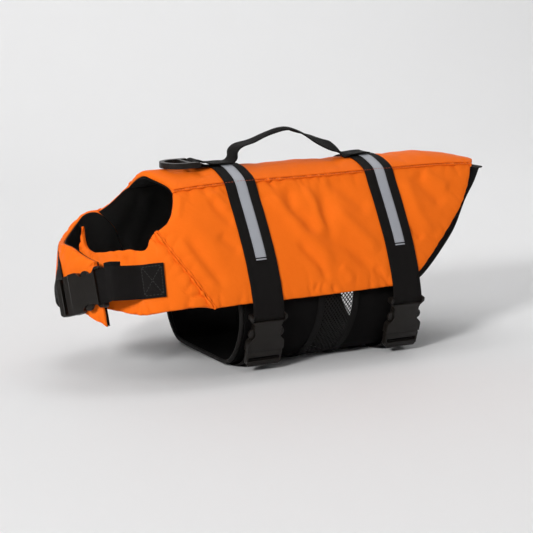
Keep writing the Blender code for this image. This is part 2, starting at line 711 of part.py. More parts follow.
def finished_mesh(obj, helpers):
    """The mesh left by an object's modifiers; the object and its helpers are taken away."""
    evaluated = obj.evaluated_get(bpy.context.evaluated_depsgraph_get())
    mesh = bpy.data.meshes.new_from_object(evaluated)
    for old in [*helpers, obj]:
        bpy.data.objects.remove(old, do_unlink=True)
    mesh.materials.clear()
    bm = bmesh.new()
    bm.from_mesh(mesh)
    bmesh.ops.triangulate(bm, faces=bm.faces)
    bm.to_mesh(mesh)
    bm.free()
    return mesh


def socket_mesh():
    """Body of the side-release buckle, with its webbing bar, mouth and two side windows."""
    b = BUCKLE
    half, thick, mouth, slot = b["half_width"], b["thick"] / 2.0, b["socket"], b["slot"] / 2.0
    outline = mirror_outline(
        [(half - 1.5, 0.0), (half, 1.5), (half, 5.5), (b["waist"] + 1.0, 10.0), (b["waist"], 13.0)]
        + arc(half + 0.5, 23.0, 7.6, 215.0, 145.0, 7)
        + [(half - 0.6, 32.5), (half, 35.0), (half, mouth)])
    body = guide("socket", outline_solid("socket", outline, -thick, thick))
    cuts = [
        # u, v and w ranges
        (-15.8, 15.8, 12.5, mouth + 5.0, -slot, slot),
        (-30.0, 30.0, 15.5, 30.5, -slot - 0.5, slot + 0.5),
        (-19.7, 19.7, 3.2, 7.4, -20.0, 20.0),
        (-19.35, 19.35, -5.0, 5.0, b["strap_seat"] - GAP, 20.0),
    ]
    boxes = [cutter_box("socket_cut", *ranges) for ranges in cuts]
    for box in boxes:
        boolean(body, box, "DIFFERENCE")
    return finished_mesh(body, boxes)


def clip_mesh():
    """End block of the buckle with its webbing channel, and the fork that locks in the socket."""
    b = BUCKLE
    half, thick, mouth, fork = b["half_width"], b["thick"] / 2.0, b["socket"], b["fork"] / 2.0
    block = guide("clip", outline_solid("clip", mirror_outline(
        [(half - 1.5, mouth + GAP), (half - 0.6, mouth + 2.0), (half - 1.4, b["length"] - 3.0),
         (half - 4.0, b["length"])]), -thick + 0.6, thick - 0.6))
    prongs = guide("prongs", outline_solid("prongs", mirror_outline(
        [(13.0, mouth + 4.0), (13.0, 31.5), (14.6, 29.6)] + arc(half - 6.4, 23.0, 6.0, 60.0, -70.0, 6)
        + [(12.0, 14.4), (9.5, 14.4), (9.5, mouth - 3.0)]), -fork, fork))
    channel = cutter_box("channel", -19.4, 19.4, b["channel"] - 2.4, b["channel"] + 2.0, -20.0, 20.0)
    boolean(block, prongs, "UNION")
    boolean(block, channel, "DIFFERENCE")
    return finished_mesh(block, [prongs, channel])


def build_buckle(place, frame):
    for name, mesh in (("socket", SOCKET_MESH), ("clip", CLIP_MESH)):
        piece = add_object(f"buckle_{place}_{name}", mesh.copy(), "black_plastic")
        piece.matrix_world = frame


def frame_from(corner, down, out):
    """World matrix whose v axis runs down the buckle and w axis out of it."""
    down = down / np.linalg.norm(down)
    out = out - down * np.dot(out, down)
    out /= np.linalg.norm(out)
    across = np.cross(down, out)
    frame = Matrix.Identity(4)
    for k, axis in enumerate((across, down, out)):
        for row in range(3):
            frame[row][k] = axis[row]
    for row in range(3):
        frame[row][3] = (corner[row] - ORIGIN[row]) * MM
    return frame


def build_chest_webbing():
    """Chest buckle over the lapped flaps, and the sewn webbing that runs to each of its ends."""
    ends = np.array([CHEST_BUCKLE[0], CHEST_BUCKLE[1]])
    start = shell_points(ends[:1], LEFT, CHEST_RIDE + tuck(LEFT, ends[:1, 0]))[0]
    stop = shell_points(ends[1:], RIGHT, CHEST_RIDE)[0]
    middle = shell_points(np.array([[304.0, 177.0]] * 2), RIGHT, np.array([0.0, 1.0]))
    out = middle[1] - middle[0]
    down = (stop - start) / np.linalg.norm(stop - start)
    out -= down * np.dot(out, down)
    out /= np.linalg.norm(out)
    build_buckle("chest", frame_from(start, down, out))
    cross = np.cross(down, out)
    seat, channel = BUCKLE["strap_seat"], BUCKLE["channel"]

    points, across = shell_route(CHEST_LEFT, LEFT, 4)
    ahead = [start + down * v + out * seat for v in (-12.0, -4.0, 6.4)]
    sign = np.sign(np.dot(across[-1], cross))
    build_chest_strap("chest_strap_left", np.concatenate([points, ahead]),
                      np.concatenate([across, np.tile(cross * sign, (3, 1))]), 0.0)
    points, across = shell_route(CHEST_RIGHT, RIGHT, 21)
    slant = math.tan(math.radians(CHEST_SLANT))
    behind = [start + down * v + out * w + cross * (v - channel + 1.0) * slant for v, w in
              ((channel + 6.0, -6.5), (channel + 1.0, -6.4), (channel - 5.0, -6.3))]
    sign = np.sign(np.dot(across[-1], cross))
    slanted = (cross - down * slant) * sign
    build_chest_strap("chest_strap_right", np.concatenate([points, behind]),
                      np.concatenate([across, np.tile(slanted, (3, 1))]), CHEST_PINCH)


# ---- leash ring ------------------------------------------------------------------------------
RING = {"half_width": 21.0, "bar_x": -36.0, "bar_z": 225.0, "rod": 6.4, "bar": 3.5, "length": 41.0,
        "turn": 3.5, "droop_degrees": 0.7}


def build_ring():
    """Moulded D ring with a webbing slot; its origin is on the bar that the webbing turns on."""
    r = RING
    half, rod = r["half_width"], r["rod"] / 2.0
    front = r["length"] - half
    bar = r["bar"] / 2.0
    outer = ([(bar, -half + 3.0), (bar, half - 3.0), (bar - 3.0, half)]
             + arc(-front, 0.0, half, 90.0, 270.0, 15) + [(bar - 3.0, -half)])
    body = guide("ring", outline_solid("ring", outer, -rod, rod))
    eye_half = half - 5.6
    eye = guide("eye", outline_solid(
        "eye", arc(-front, 0.0, eye_half, 90.0, 270.0, 11) + [(-14.4, -eye_half), (-14.4, eye_half)],
        -20.0, 20.0))
    slot = cutter_box("slot", -10.4, -bar, -eye_half + 0.6, eye_half - 0.6, -20.0, 20.0)
    boolean(body, eye, "DIFFERENCE")
    thin = [cutter_box("thin", -bar - 0.2, 5.0, -half - 1.0, half + 1.0, *levels)
            for levels in ((bar, 20.0), (-20.0, -bar))]
    for cutter in (slot, *thin):
        boolean(body, cutter, "DIFFERENCE")
    ring = add_object("leash_ring", finished_mesh(body, [eye, slot, *thin]), "black_plastic")
    ring.rotation_euler = (0.0, -math.radians(r["droop_degrees"]), 0.0)
    ring.location = ((r["bar_x"] - ORIGIN[0]) * MM, -ORIGIN[1] * MM, r["bar_z"] * MM)


# ---- build -----------------------------------------------------------------------------------
clear_scene()
jacket = new_collection("dog_life_jacket")
cutters = new_collection("cutters")

SOCKET_MESH, CLIP_MESH = socket_mesh(), clip_mesh()
build_back()
build_side(LEFT, NECK_LEFT, "left")
build_side(RIGHT, NECK_RIGHT, "right")
build_flap(LEFT, NECK_LEFT, FLAP_RIM_LEFT, FLAP_END_LEFT, FLAP_HEM_LEFT_END, "left")
build_flap(RIGHT, NECK_RIGHT, FLAP_RIM_RIGHT, FLAP_END_RIGHT, FLAP_HEM_RIGHT_END, "right")
build_belly()
for strap_x, strap_place in ((STRAP_FRONT, "front"), (STRAP_REAR, "rear")):
    build_girth_strap(strap_x, strap_place)
build_handle()
build_chest_webbing()
build_ring()
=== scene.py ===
import contextlib
import math
import random

import bpy
import bmesh
import numpy as np
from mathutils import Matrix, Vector
from mathutils.bvhtree import BVHTree
from mathutils.kdtree import KDTree


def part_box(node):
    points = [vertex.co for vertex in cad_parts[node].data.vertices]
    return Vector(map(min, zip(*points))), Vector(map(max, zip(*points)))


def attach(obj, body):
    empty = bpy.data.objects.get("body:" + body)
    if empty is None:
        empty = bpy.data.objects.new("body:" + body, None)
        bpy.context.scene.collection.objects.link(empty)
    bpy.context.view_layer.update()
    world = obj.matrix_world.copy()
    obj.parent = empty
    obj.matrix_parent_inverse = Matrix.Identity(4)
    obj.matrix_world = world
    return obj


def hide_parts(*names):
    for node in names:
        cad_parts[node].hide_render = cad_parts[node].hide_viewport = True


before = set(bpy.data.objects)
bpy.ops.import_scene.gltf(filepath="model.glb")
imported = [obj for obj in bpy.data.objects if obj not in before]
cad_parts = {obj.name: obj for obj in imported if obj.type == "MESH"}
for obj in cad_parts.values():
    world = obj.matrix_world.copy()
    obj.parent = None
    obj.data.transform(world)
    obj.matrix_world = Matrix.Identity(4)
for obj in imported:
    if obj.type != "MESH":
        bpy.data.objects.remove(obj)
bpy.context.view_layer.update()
mm = 0.001

print("Stage 1: camera, light and floor")
cameraSetup = {"place": (-0.926, -1.7167, 0.485), "azimuth": -28.0, "elevation": 11.3, "lens": 114.15}
worldStrength = 0.31
lightSetup = {
    "key": {"place": (-2.4, -1.5, 1.5), "aim": (0.0, 0.0, 0.1), "size": 0.6, "watts": 73.0},
    "top": {"place": (-0.5, -0.4, 2.6), "aim": (0.0, 0.1, 0.1), "size": 1.2, "watts": 4.0},
    "backdrop": {"place": (0.6, 0.9, 2.6), "aim": (0.8, 2.4, 0.5), "size": 2.0, "watts": 24.0},
}
floorSetup = {"halfWidth": 5.0, "front": -3.6, "back": 2.4, "rise": 3.4, "bend": 1.1,
              "tone": (0.82, 0.82, 0.822), "rough": 0.75}


def chosen(*pieces):
    for other in list(bpy.context.selected_objects):
        other.select_set(False)
    for piece in pieces:
        piece.select_set(True)
    bpy.context.view_layer.objects.active = pieces[-1]


@contextlib.contextmanager
def editingAll(piece):
    # edit mode with the whole mesh selected
    chosen(piece)
    bpy.ops.object.mode_set(mode="EDIT")
    bpy.ops.mesh.select_all(action="SELECT")
    yield
    bpy.ops.object.mode_set(mode="OBJECT")


def selectEdges(piece, wanted):
    edit = bmesh.from_edit_mesh(piece.data)
    for edge in edit.edges:
        edge.select_set(wanted(edge))
    bmesh.update_edit_mesh(piece.data)


def applyModifier(piece, kind, **settings):
    chosen(piece)
    modifier = piece.modifiers.new(kind.lower(), kind)
    for key, value in settings.items():
        setattr(modifier, key, value)
    bpy.ops.object.modifier_apply(modifier=modifier.name)


def addObject(name, data):
    made = bpy.data.objects.new(name, data)
    bpy.context.scene.collection.objects.link(made)
    return made


def addCamera():
    a, e = math.radians(cameraSetup["azimuth"]), math.radians(cameraSetup["elevation"])
    back = Vector((math.sin(a) * math.cos(e), -math.cos(a) * math.cos(e), math.sin(e)))
    data = bpy.data.cameras.new("camera")
    data.lens = cameraSetup["lens"]
    data.sensor_width = 36.0
    camera = addObject("camera", data)
    camera.location = cameraSetup["place"]
    camera.rotation_euler = (-back).to_track_quat("-Z", "Y").to_euler()
    bpy.context.scene.camera = camera


def addLight(name, spec):
    data = bpy.data.lights.new(name, "AREA")
    data.shape = "DISK"
    data.size = spec["size"]
    data.energy = spec["watts"]
    light = addObject(name, data)
    light.location = spec["place"]
    aim = Vector(spec["aim"]) - Vector(spec["place"])
    light.rotation_euler = aim.to_track_quat("-Z", "Y").to_euler()


def addWorld():
    world = bpy.data.worlds.new("softStudio")
    world.use_nodes = True
    background = world.node_tree.nodes["Background"]
    background.inputs["Color"].default_value = (1.0, 1.0, 1.0, 1.0)
    background.inputs["Strength"].default_value = worldStrength
    bpy.context.scene.world = world
    view = bpy.context.scene.view_settings
    view.view_transform, view.look = "Standard", "None"


def addNode(tree, kind, inputs=None, **settings):
    node = tree.nodes.new(kind)
    for key, value in settings.items():
        setattr(node, key, value)
    for key, value in (inputs or {}).items():
        if isinstance(value, bpy.types.NodeSocket):
            tree.links.new(value, node.inputs[key])
        else:
            node.inputs[key].default_value = value
    return node


def noise(tree, place, scale, **more):
    return addNode(tree, "ShaderNodeTexNoise", {"Vector": place, "Scale": scale, **more}).outputs["Fac"]


def newSurface(name, shine):
    # a material with its tree, its shader and the place in the piece's own frame
    mat = bpy.data.materials.new(name)
    mat.use_nodes = True
    tree = mat.node_tree
    shader = tree.nodes["Principled BSDF"]
    shader.inputs["Specular IOR Level"].default_value = shine
    return mat, tree, shader, addNode(tree, "ShaderNodeTexCoord").outputs["Object"]


def mixColours(tree, shader, share, dark, light):
    colour = addNode(tree, "ShaderNodeMix", {0: share, 6: (*dark, 1.0), 7: (*light, 1.0)}, data_type="RGBA")
    tree.links.new(colour.outputs[2], shader.inputs["Base Color"])


def plainSurface(name, tone, rough):
    mat, tree, shader, place = newSurface(name, 0.1)
    mixColours(tree, shader, noise(tree, place, 2.0), tone, [c * 0.985 for c in tone])
    shader.inputs["Roughness"].default_value = rough
    return mat


def addFloor():
    f = floorSetup
    bpy.ops.mesh.primitive_plane_add(size=2.0)
    floor = bpy.context.object
    floor.name = "floor"
    for vertex in floor.data.vertices:
        vertex.co.x *= f["halfWidth"]
        vertex.co.y = f["back"] if vertex.co.y > 0.0 else f["front"]
    bpy.ops.object.mode_set(mode="EDIT")
    bpy.ops.mesh.select_mode(type="EDGE")
    selectEdges(floor, lambda edge: all(v.co.y > 0.0 for v in edge.verts))
    bpy.ops.mesh.extrude_region_move(TRANSFORM_OT_translate={"value": (0.0, 0.0, f["rise"])})
    selectEdges(floor, lambda edge: all(abs(v.co.y - f["back"]) < mm and v.co.z < mm for v in edge.verts))
    bpy.ops.mesh.bevel(offset=f["bend"], segments=16)
    bpy.ops.object.mode_set(mode="OBJECT")
    floor.data.shade_smooth()
    floor.data.materials.append(plainSurface("paleFloor", f["tone"], f["rough"]))


addCamera()
addWorld()
for lightName, lightSpec in lightSetup.items():
    addLight(lightName, lightSpec)
chosen(bpy.context.scene.camera)
addFloor()

print("Stage 2: materials")


def newGroup(name, output, **sizes):
    # a group that turns a place, and sizes, into one value
    group = bpy.data.node_groups.new(name, "ShaderNodeTree")
    group.interface.new_socket("Vector", in_out="INPUT", socket_type="NodeSocketVector")
    for key, value in sizes.items():
        socket = group.interface.new_socket(key, in_out="INPUT", socket_type="NodeSocketFloat")
        socket.default_value = value
    group.interface.new_socket(output, in_out="OUTPUT", socket_type="NodeSocketFloat")
    given = group.nodes.new("NodeGroupInput").outputs
    return group, given, group.nodes.new("NodeGroupOutput").inputs[output]


def mathNode(tree, operation, a, b=0.0, c=0.0):
    return addNode(tree, "ShaderNodeMath", {0: a, 1: b, 2: c}, operation=operation).outputs[0]


def weaveGroup():
    # plain weave on the three planes of space, each shown where the cloth faces it
    group, given, result = newGroup("clothWeave", "Height", Thread=0.8 * mm)
    turns = mathNode(group, "DIVIDE", math.pi, given["Thread"])
    scaled = addNode(group, "ShaderNodeVectorMath", {0: given["Vector"], "Scale": turns}, operation="SCALE")
    parts = addNode(group, "ShaderNodeSeparateXYZ", {0: scaled.outputs[0]})
    waves = [mathNode(group, "SINE", parts.outputs[k]) for k in range(3)]
    facing = addNode(group, "ShaderNodeNewGeometry")
    towards = addNode(group, "ShaderNodeSeparateXYZ", {0: facing.outputs["Normal"]})
    height = 0.0
    for k in range(3):
        across = mathNode(group, "MULTIPLY", waves[(k + 1) % 3], waves[(k + 2) % 3])
        share = mathNode(group, "POWER", mathNode(group, "ABSOLUTE", towards.outputs[k]), 3.0)
        height = mathNode(group, "MULTIPLY_ADD", across, share, height)
    group.links.new(height, result)
    return group


def toneGroup():
    # slow cloudy change of a finish, as on handled cloth, with a finer fleck in it
    group, given, result = newGroup("unevenTone", "Tone", Cloud=18.0, Fleck=900.0)
    cloud = noise(group, given["Vector"], given["Cloud"], Detail=3.0)
    fleck = noise(group, given["Vector"], given["Fleck"], Detail=1.0)
    tone = mathNode(group, "MULTIPLY_ADD", fleck, 0.35, mathNode(group, "MULTIPLY", cloud, 0.65))
    group.links.new(tone, result)
    return group


def crinkleGroup():
    # small soft crinkles of coated cloth, stretched a little along the body
    group, given, result = newGroup("clothCrinkle", "Height", Size=60.0)
    stretch = addNode(group, "ShaderNodeMapping", {"Vector": given["Vector"], "Scale": (0.55, 1.0, 1.0)})
    coarse = noise(group, stretch.outputs[0], given["Size"], Detail=2.0, Distortion=0.6)
    fine = noise(group, given["Vector"], mathNode(group, "MULTIPLY", given["Size"], 3.2), Detail=1.0)
    group.links.new(mathNode(group, "MULTIPLY_ADD", fine, 0.25, coarse), result)
    return group


def webbingGroup():
    # herringbone ribs across a webbing, read from its own map in metres; their height gives the bump and
    # also painted shade in the colour
    group, given, result = newGroup("webbingRib", "Height", Rib=1.4 * mm, Chevron=6.0 * mm)
    parts = addNode(group, "ShaderNodeSeparateXYZ", {0: given["Vector"]})
    zigzag = mathNode(group, "PINGPONG", parts.outputs[1], given["Chevron"])
    run = mathNode(group, "ADD", parts.outputs[0], mathNode(group, "MULTIPLY", zigzag, 0.8))
    turns = mathNode(group, "DIVIDE", 2.0 * math.pi, given["Rib"])
    ribs = mathNode(group, "SINE", mathNode(group, "MULTIPLY", run, turns))
    cords = mathNode(group, "SINE", mathNode(group, "MULTIPLY", parts.outputs[1], turns))
    group.links.new(mathNode(group, "MULTIPLY_ADD", cords, 0.4, ribs), result)
    return group


weave, unevenTone, crinkle, webbingRib = weaveGroup(), toneGroup(), crinkleGroup(), webbingGroup()

finishes = {
    "orangeCloth": {"light": (0.90, 0.170, 0.012), "dark": (0.80, 0.132, 0.008), "rough": (0.40, 0.52),
                    "thread": 0.7 * mm, "weaveDepth": 0.10, "crinkleSize": 62.0, "crinkleDepth": 0.35,
                    "shine": 0.03},
    "liningCloth": {"light": (0.0050, 0.0045, 0.0040), "dark": (0.0028, 0.0025, 0.0022),
                    "rough": (0.60, 0.76), "thread": 0.6 * mm, "weaveDepth": 0.10, "crinkleSize": 46.0,
                    "crinkleDepth": 0.5, "shine": 0.16},
    "neoprene": {"light": (0.0045, 0.0040, 0.0040), "dark": (0.0025, 0.0022, 0.0022), "rough": (0.75, 0.9),
                 "thread": 0.9 * mm, "weaveDepth": 0.16, "crinkleSize": 24.0, "crinkleDepth": 0.25,
                 "shine": 0.07},
    "netCord": {"light": (0.0095, 0.0085, 0.0080), "dark": (0.0060, 0.0054, 0.0050), "rough": (0.6, 0.75),
                "thread": 0.3 * mm, "weaveDepth": 0.10, "crinkleSize": 90.0, "crinkleDepth": 0.1,
                "shine": 0.15},
}
webbingFinishes = {
    "webbing": {"light": (0.0085, 0.0072, 0.0068), "dark": (0.0040, 0.0033, 0.0032), "rough": 0.66,
                "rib": 1.5 * mm, "depth": 0.55, "shine": 0.09},
    "binding": {"light": (0.0065, 0.0058, 0.0055), "dark": (0.0030, 0.0026, 0.0026), "rough": 0.7,
                "rib": 0.9 * mm, "depth": 0.4, "shine": 0.12},
    "reflectiveTape": {"light": (0.36, 0.37, 0.40), "dark": (0.27, 0.28, 0.31), "rough": 0.42,
                       "rib": 0.8 * mm, "depth": 0.10, "shine": 0.5},
}
plasticFinish = {"light": (0.0115, 0.0092, 0.0076), "dark": (0.0065, 0.0052, 0.0042), "rough": (0.30, 0.44),
                 "grainDepth": 0.12, "shine": 0.22}
threads = {
    # orange thread, its colour darkened with painted shade for the shadowed needle holes the stitches sit in
    "shadedOrangeThread": {"light": (0.50, 0.075, 0.015), "dark": (0.30, 0.04, 0.01)},
    "blackThread": {"light": (0.030, 0.028, 0.027), "dark": (0.014, 0.013, 0.012)},
    "greyThread": {"light": (0.16, 0.16, 0.17), "dark": (0.08, 0.08, 0.09)},
}


def useGroup(tree, group, place, **inputs):
    node = addNode(tree, "ShaderNodeGroup", node_tree=group)
    tree.links.new(place, node.inputs["Vector"])
    for key, value in inputs.items():
        node.inputs[key].default_value = value
    return node.outputs[0]


def changeRoughness(tree, shader, tone, low, high):
    rough = addNode(tree, "ShaderNodeMapRange", {0: tone, 3: low, 4: high})
    tree.links.new(rough.outputs[0], shader.inputs["Roughness"])


def addBump(tree, height, strength, distance, **below):
    given = {"Height": height, "Strength": strength, "Distance": distance, **below}
    return addNode(tree, "ShaderNodeBump", given).outputs[0]


def clothMaterial(name, spec):
    mat, tree, shader, place = newSurface(name, spec["shine"])
    tone = useGroup(tree, unevenTone, place)
    mixColours(tree, shader, tone, spec["dark"], spec["light"])
    changeRoughness(tree, shader, tone, *spec["rough"])
    soft = useGroup(tree, crinkle, place, Size=spec["crinkleSize"])
    weft = useGroup(tree, weave, place, Thread=spec["thread"])
    crinkles = addBump(tree, soft, spec["crinkleDepth"], 1.2 * mm)
    woven = addBump(tree, weft, spec["weaveDepth"], 0.1 * mm, Normal=crinkles)
    tree.links.new(woven, shader.inputs["Normal"])
    return mat


def webbingMaterial(name, spec):
    mat, tree, shader, place = newSurface(name, spec["shine"])
    ownMap = addNode(tree, "ShaderNodeUVMap", uv_map="UVMap").outputs[0]
    ribs = useGroup(tree, webbingRib, ownMap, Rib=spec["rib"])
    tone = useGroup(tree, unevenTone, place, Cloud=40.0)
    # painted shade: the ribs' height darkens the colour in their grooves and lightens it on their crests,
    # over the random tone
    lift = mathNode(tree, "MULTIPLY_ADD", ribs, 0.12, tone)
    mixColours(tree, shader, lift, spec["dark"], spec["light"])
    changeRoughness(tree, shader, tone, spec["rough"] - 0.06, spec["rough"] + 0.08)
    tree.links.new(addBump(tree, ribs, spec["depth"], 0.2 * mm), shader.inputs["Normal"])
    return mat


def plasticMaterial(name, spec):
    mat, tree, shader, place = newSurface(name, spec["shine"])
    tone = useGroup(tree, unevenTone, place, Cloud=90.0, Fleck=2600.0)
    mixColours(tree, shader, tone, spec["dark"], spec["light"])
    changeRoughness(tree, shader, tone, *spec["rough"])
    tree.links.new(addBump(tree, tone, spec["grainDepth"], 0.08 * mm), shader.inputs["Normal"])
    return mat


def threadMaterial(name, spec):
    mat, tree, shader, place = newSurface(name, 0.5)
    twist = noise(tree, place, 2200.0, Detail=1.0)
    mixColours(tree, shader, twist, spec["dark"], spec["light"])
    tree.links.new(addBump(tree, twist, 0.4, 0.1 * mm), shader.inputs["Normal"])
    shader.inputs["Roughness"].default_value = 0.6
    return mat


materials = {name: clothMaterial(name, spec) for name, spec in finishes.items()}
materials.update({name: webbingMaterial(name, spec) for name, spec in webbingFinishes.items()})
materials["plastic"] = plasticMaterial("mouldedPlastic", plasticFinish)
materials.update({name: threadMaterial(name, spec) for name, spec in threads.items()})

print("Stage 3: padded panels and their lining")
sharpAngle, mergeGap = math.radians(50.0), 0.02 * mm
seamReach, seamBevel = 1.2 * mm, 0.5 * mm


def smooth(t):
    t = np.clip(t, 0.0, 1.0)
    return t * t * (3.0 - 2.0 * t)


def runLengths(points):
    return np.concatenate([[0.0], np.cumsum(np.linalg.norm(np.diff(points, axis=0), axis=1))])


def readCurve(keys, rows, at):
    # smooth curve through rows, read at the given keys
    keys, at = np.asarray(keys, float), np.asarray(at, float)
    rows = np.asarray(rows, float).reshape(len(keys), -1)
    slope = np.diff(rows, axis=0) / np.diff(keys)[:, None]
    inner = np.where(slope[1:] * slope[:-1] > 0.0, (slope[1:] + slope[:-1]) / 2.0, 0.0)
    tangent = np.vstack([slope[:1], inner, slope[-1:]])
    i = np.clip(np.searchsorted(keys, at, side="right") - 1, 0, len(keys) - 2)
    step = (keys[i + 1] - keys[i])[:, None]
    t = (at - keys[i])[:, None] / step
    return ((2 * t**3 - 3 * t**2 + 1) * rows[i] + (t**3 - 2 * t**2 + t) * step * tangent[i]
            + (3 * t**2 - 2 * t**3) * rows[i + 1] + (t**3 - t**2) * step * tangent[i + 1])


def evenly(points, step):
    points = np.asarray(points, float)
    at = runLengths(points)
    count = max(2, int(round(at[-1] / step)) + 1)
    return readCurve(at, points, np.linspace(0.0, at[-1], count))


def coordinates(piece, key="co"):
    points = np.empty(len(piece.data.vertices) * 3)
    piece.data.vertices.foreach_get(key, points)
    return points.reshape(-1, 3)


def setCoordinates(piece, points):
    piece.data.vertices.foreach_set("co", np.ascontiguousarray(points, float).ravel())
    piece.data.update()


def mergedCopy(nodeName, name):
    piece = addObject(name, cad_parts[nodeName].data.copy())
    piece.data.materials.clear()
    edit = bmesh.new()
    edit.from_mesh(piece.data)
    bmesh.ops.remove_doubles(edit, verts=edit.verts, dist=mergeGap)
    edit.to_mesh(piece.data)
    edit.free()
    return piece


def faceRegions(edit, sharp):
    # groups of faces that join without a sharp edge, the largest first
    regions, seen = [], set()
    for start in edit.faces:
        if start in seen:
            continue
        region, stack = [], [start]
        seen.add(start)
        while stack:
            face = stack.pop()
            region.append(face)
            for edge in face.edges:
                if edge.calc_face_angle(math.pi) < sharp:
                    for other in edge.link_faces:
                        if other not in seen:
                            seen.add(other)
                            stack.append(other)
        regions.append(region)
    return sorted(regions, key=lambda region: -sum(face.calc_area() for face in region))


def outwardShare(region):
    # above nought where the faces look away from the line down the middle of the body
    total = 0.0
    for face in region:
        middle = face.calc_center_median()
        away = Vector((min(middle.x + 0.13, 0.0), middle.y, middle.z - 0.1))
        total += face.normal.dot(away) * face.calc_area()
    return total


def rimLoop(edit, region):
    # the outer face's edge as one closed line of points
    inside = set(region)
    border = [e for e in edit.edges if sum(face in inside for face in e.link_faces) == 1]
    follow = {}
    for edge in border:
        for a, b in (edge.verts, reversed(edge.verts)):
            follow.setdefault(a, []).append(b)
    start = border[0].verts[0]
    line, last, here = [start], None, start
    while True:
        after = [v for v in follow[here] if v is not last][0]
        if after is start:
            break
        line.append(after)
        last, here = here, after
    return line


def selectSharp():
    bpy.ops.mesh.select_all(action="DESELECT")
    bpy.ops.mesh.edges_select_sharp(sharpness=sharpAngle)


def markedCage(piece):
    # marks the outer face in a vertex attribute, makes quads, and gives the outer face's rim
    edit = bmesh.new()
    edit.from_mesh(piece.data)
    regions = faceRegions(edit, sharpAngle)
    outer = max(regions[:2], key=outwardShare)
    mark = edit.verts.layers.float.new("outer")
    for face in outer:
        for vertex in face.verts:
            vertex[mark] = 1.0
    rim = np.array([v.co for v in rimLoop(edit, outer)])
    edit.to_mesh(piece.data)
    edit.free()
    chosen(piece)
    bpy.ops.object.mode_set(mode="EDIT")
    bpy.ops.mesh.select_mode(type="FACE")
    bpy.ops.mesh.select_all(action="SELECT")
    bpy.ops.mesh.tris_convert_to_quads(face_threshold=math.radians(60.0), shape_threshold=math.radians(80.0))
    bpy.ops.mesh.select_mode(type="EDGE")
    bpy.ops.object.mode_set(mode="OBJECT")
    return rim


def roundedEdges(piece, offset, levels, neighbours=()):
    # sharp edges are bevelled, less where a neighbour is sewn on, then the whole is subdivided
    chosen(piece)
    bpy.ops.object.mode_set(mode="EDIT")
    selectSharp()
    if neighbours:
        edit = bmesh.from_edit_mesh(piece.data)
        sharp = [edge for edge in edit.edges if edge.select]
        places = np.array([(edge.verts[0].co + edge.verts[1].co) / 2.0 for edge in sharp])
        gap = np.min([distanceTo(places, np.vstack([rim, rim[:1]]))[0] for rim in neighbours], axis=0)
        for edge, off in zip(sharp, gap):
            edge.select_set(bool(off < seamReach))
        bpy.ops.mesh.bevel(offset=seamBevel, segments=2, profile=0.6)
        selectSharp()
    bpy.ops.mesh.bevel(offset=offset, segments=2, profile=0.6)
    bpy.ops.object.mode_set(mode="OBJECT")
    applyModifier(piece, "SUBSURF", levels=levels, render_levels=levels)


def distanceTo(points, line):
    # each point's distance to a line of points, and how far along the line, 0 to 1
    at = runLengths(line)
    best = np.full(len(points), 9.0)
    share = np.zeros(len(points))
    for k in range(len(line) - 1):
        span = line[k + 1] - line[k]
        t = np.clip((points - line[k]) @ span / (span @ span), 0.0, 1.0)
        gap = np.linalg.norm(points - line[k] - t[:, None] * span, axis=1)
        near = gap < best
        best[near] = gap[near]
        share[near] = ((at[k] + t * (at[k + 1] - at[k])) / at[-1])[near]
    return best, share


def nearWall(x, z):
    return Vector((x * mm, -0.3, z * mm)), Vector((0.0, 1.0, 0.0))


def farWall(x, z):
    return Vector((x * mm, 0.3, z * mm)), Vector((0.0, -1.0, 0.0))


def fromAbove(x, y):
    return Vector((x * mm, y * mm, 0.4)), Vector((0.0, 0.0, -1.0))


creases = {"gain": 1.4, "narrow": 0.95, "broadFrom": 4.5, "rimFade": 13.0 * mm, "rimDip": 0.7 * mm,
           "rimReach": 4.0 * mm, "readStep": 4.0 * mm}
puckers = {"width": (2.2, 4.6), "reach": (9.0, 24.0), "slant": (-0.45, 0.45), "deep": (0.35, 1.0),
           "apart": (8.0, 22.0)}
rimStep = 2.0 * mm


def rimDistance(points, rim):
    # each point's distance from the rim, its place along the rim, and the rim's whole length
    around = evenly(np.vstack([rim, rim[:1]]), rimStep)
    tree = KDTree(len(around))
    for k, point in enumerate(around):
        tree.insert(point, k)
    tree.balance()
    found = [tree.find(point) for point in points]
    return np.array([f[2] for f in found]), np.array([f[1] for f in found]) * rimStep, len(around) * rimStep


def sewnPuckers(fromRim, along, length, dice, depth):
    # short dimples square to the edge, uneven in place, slant and length
    rise = np.zeros(len(fromRim))
    place = 0.0
    while place < length:
        width, reach = dice.uniform(*puckers["width"]) * mm, dice.uniform(*puckers["reach"]) * mm
        slant, deep = dice.uniform(*puckers["slant"]), dice.uniform(*puckers["deep"]) * depth * mm
        off = (along - place - slant * fromRim + length / 2.0) % length - length / 2.0
        rise -= deep * np.exp(-((off / width) ** 2)) * np.exp(-((fromRim / reach) ** 2))
        place += dice.uniform(*puckers["apart"]) * mm
    return rise


def outerMark(piece):
    # 1 on the outer face, less round its edge, 0 inside
    mark = np.empty(len(piece.data.vertices))
    piece.data.attributes["outer"].data.foreach_get("value", mark)
    return mark


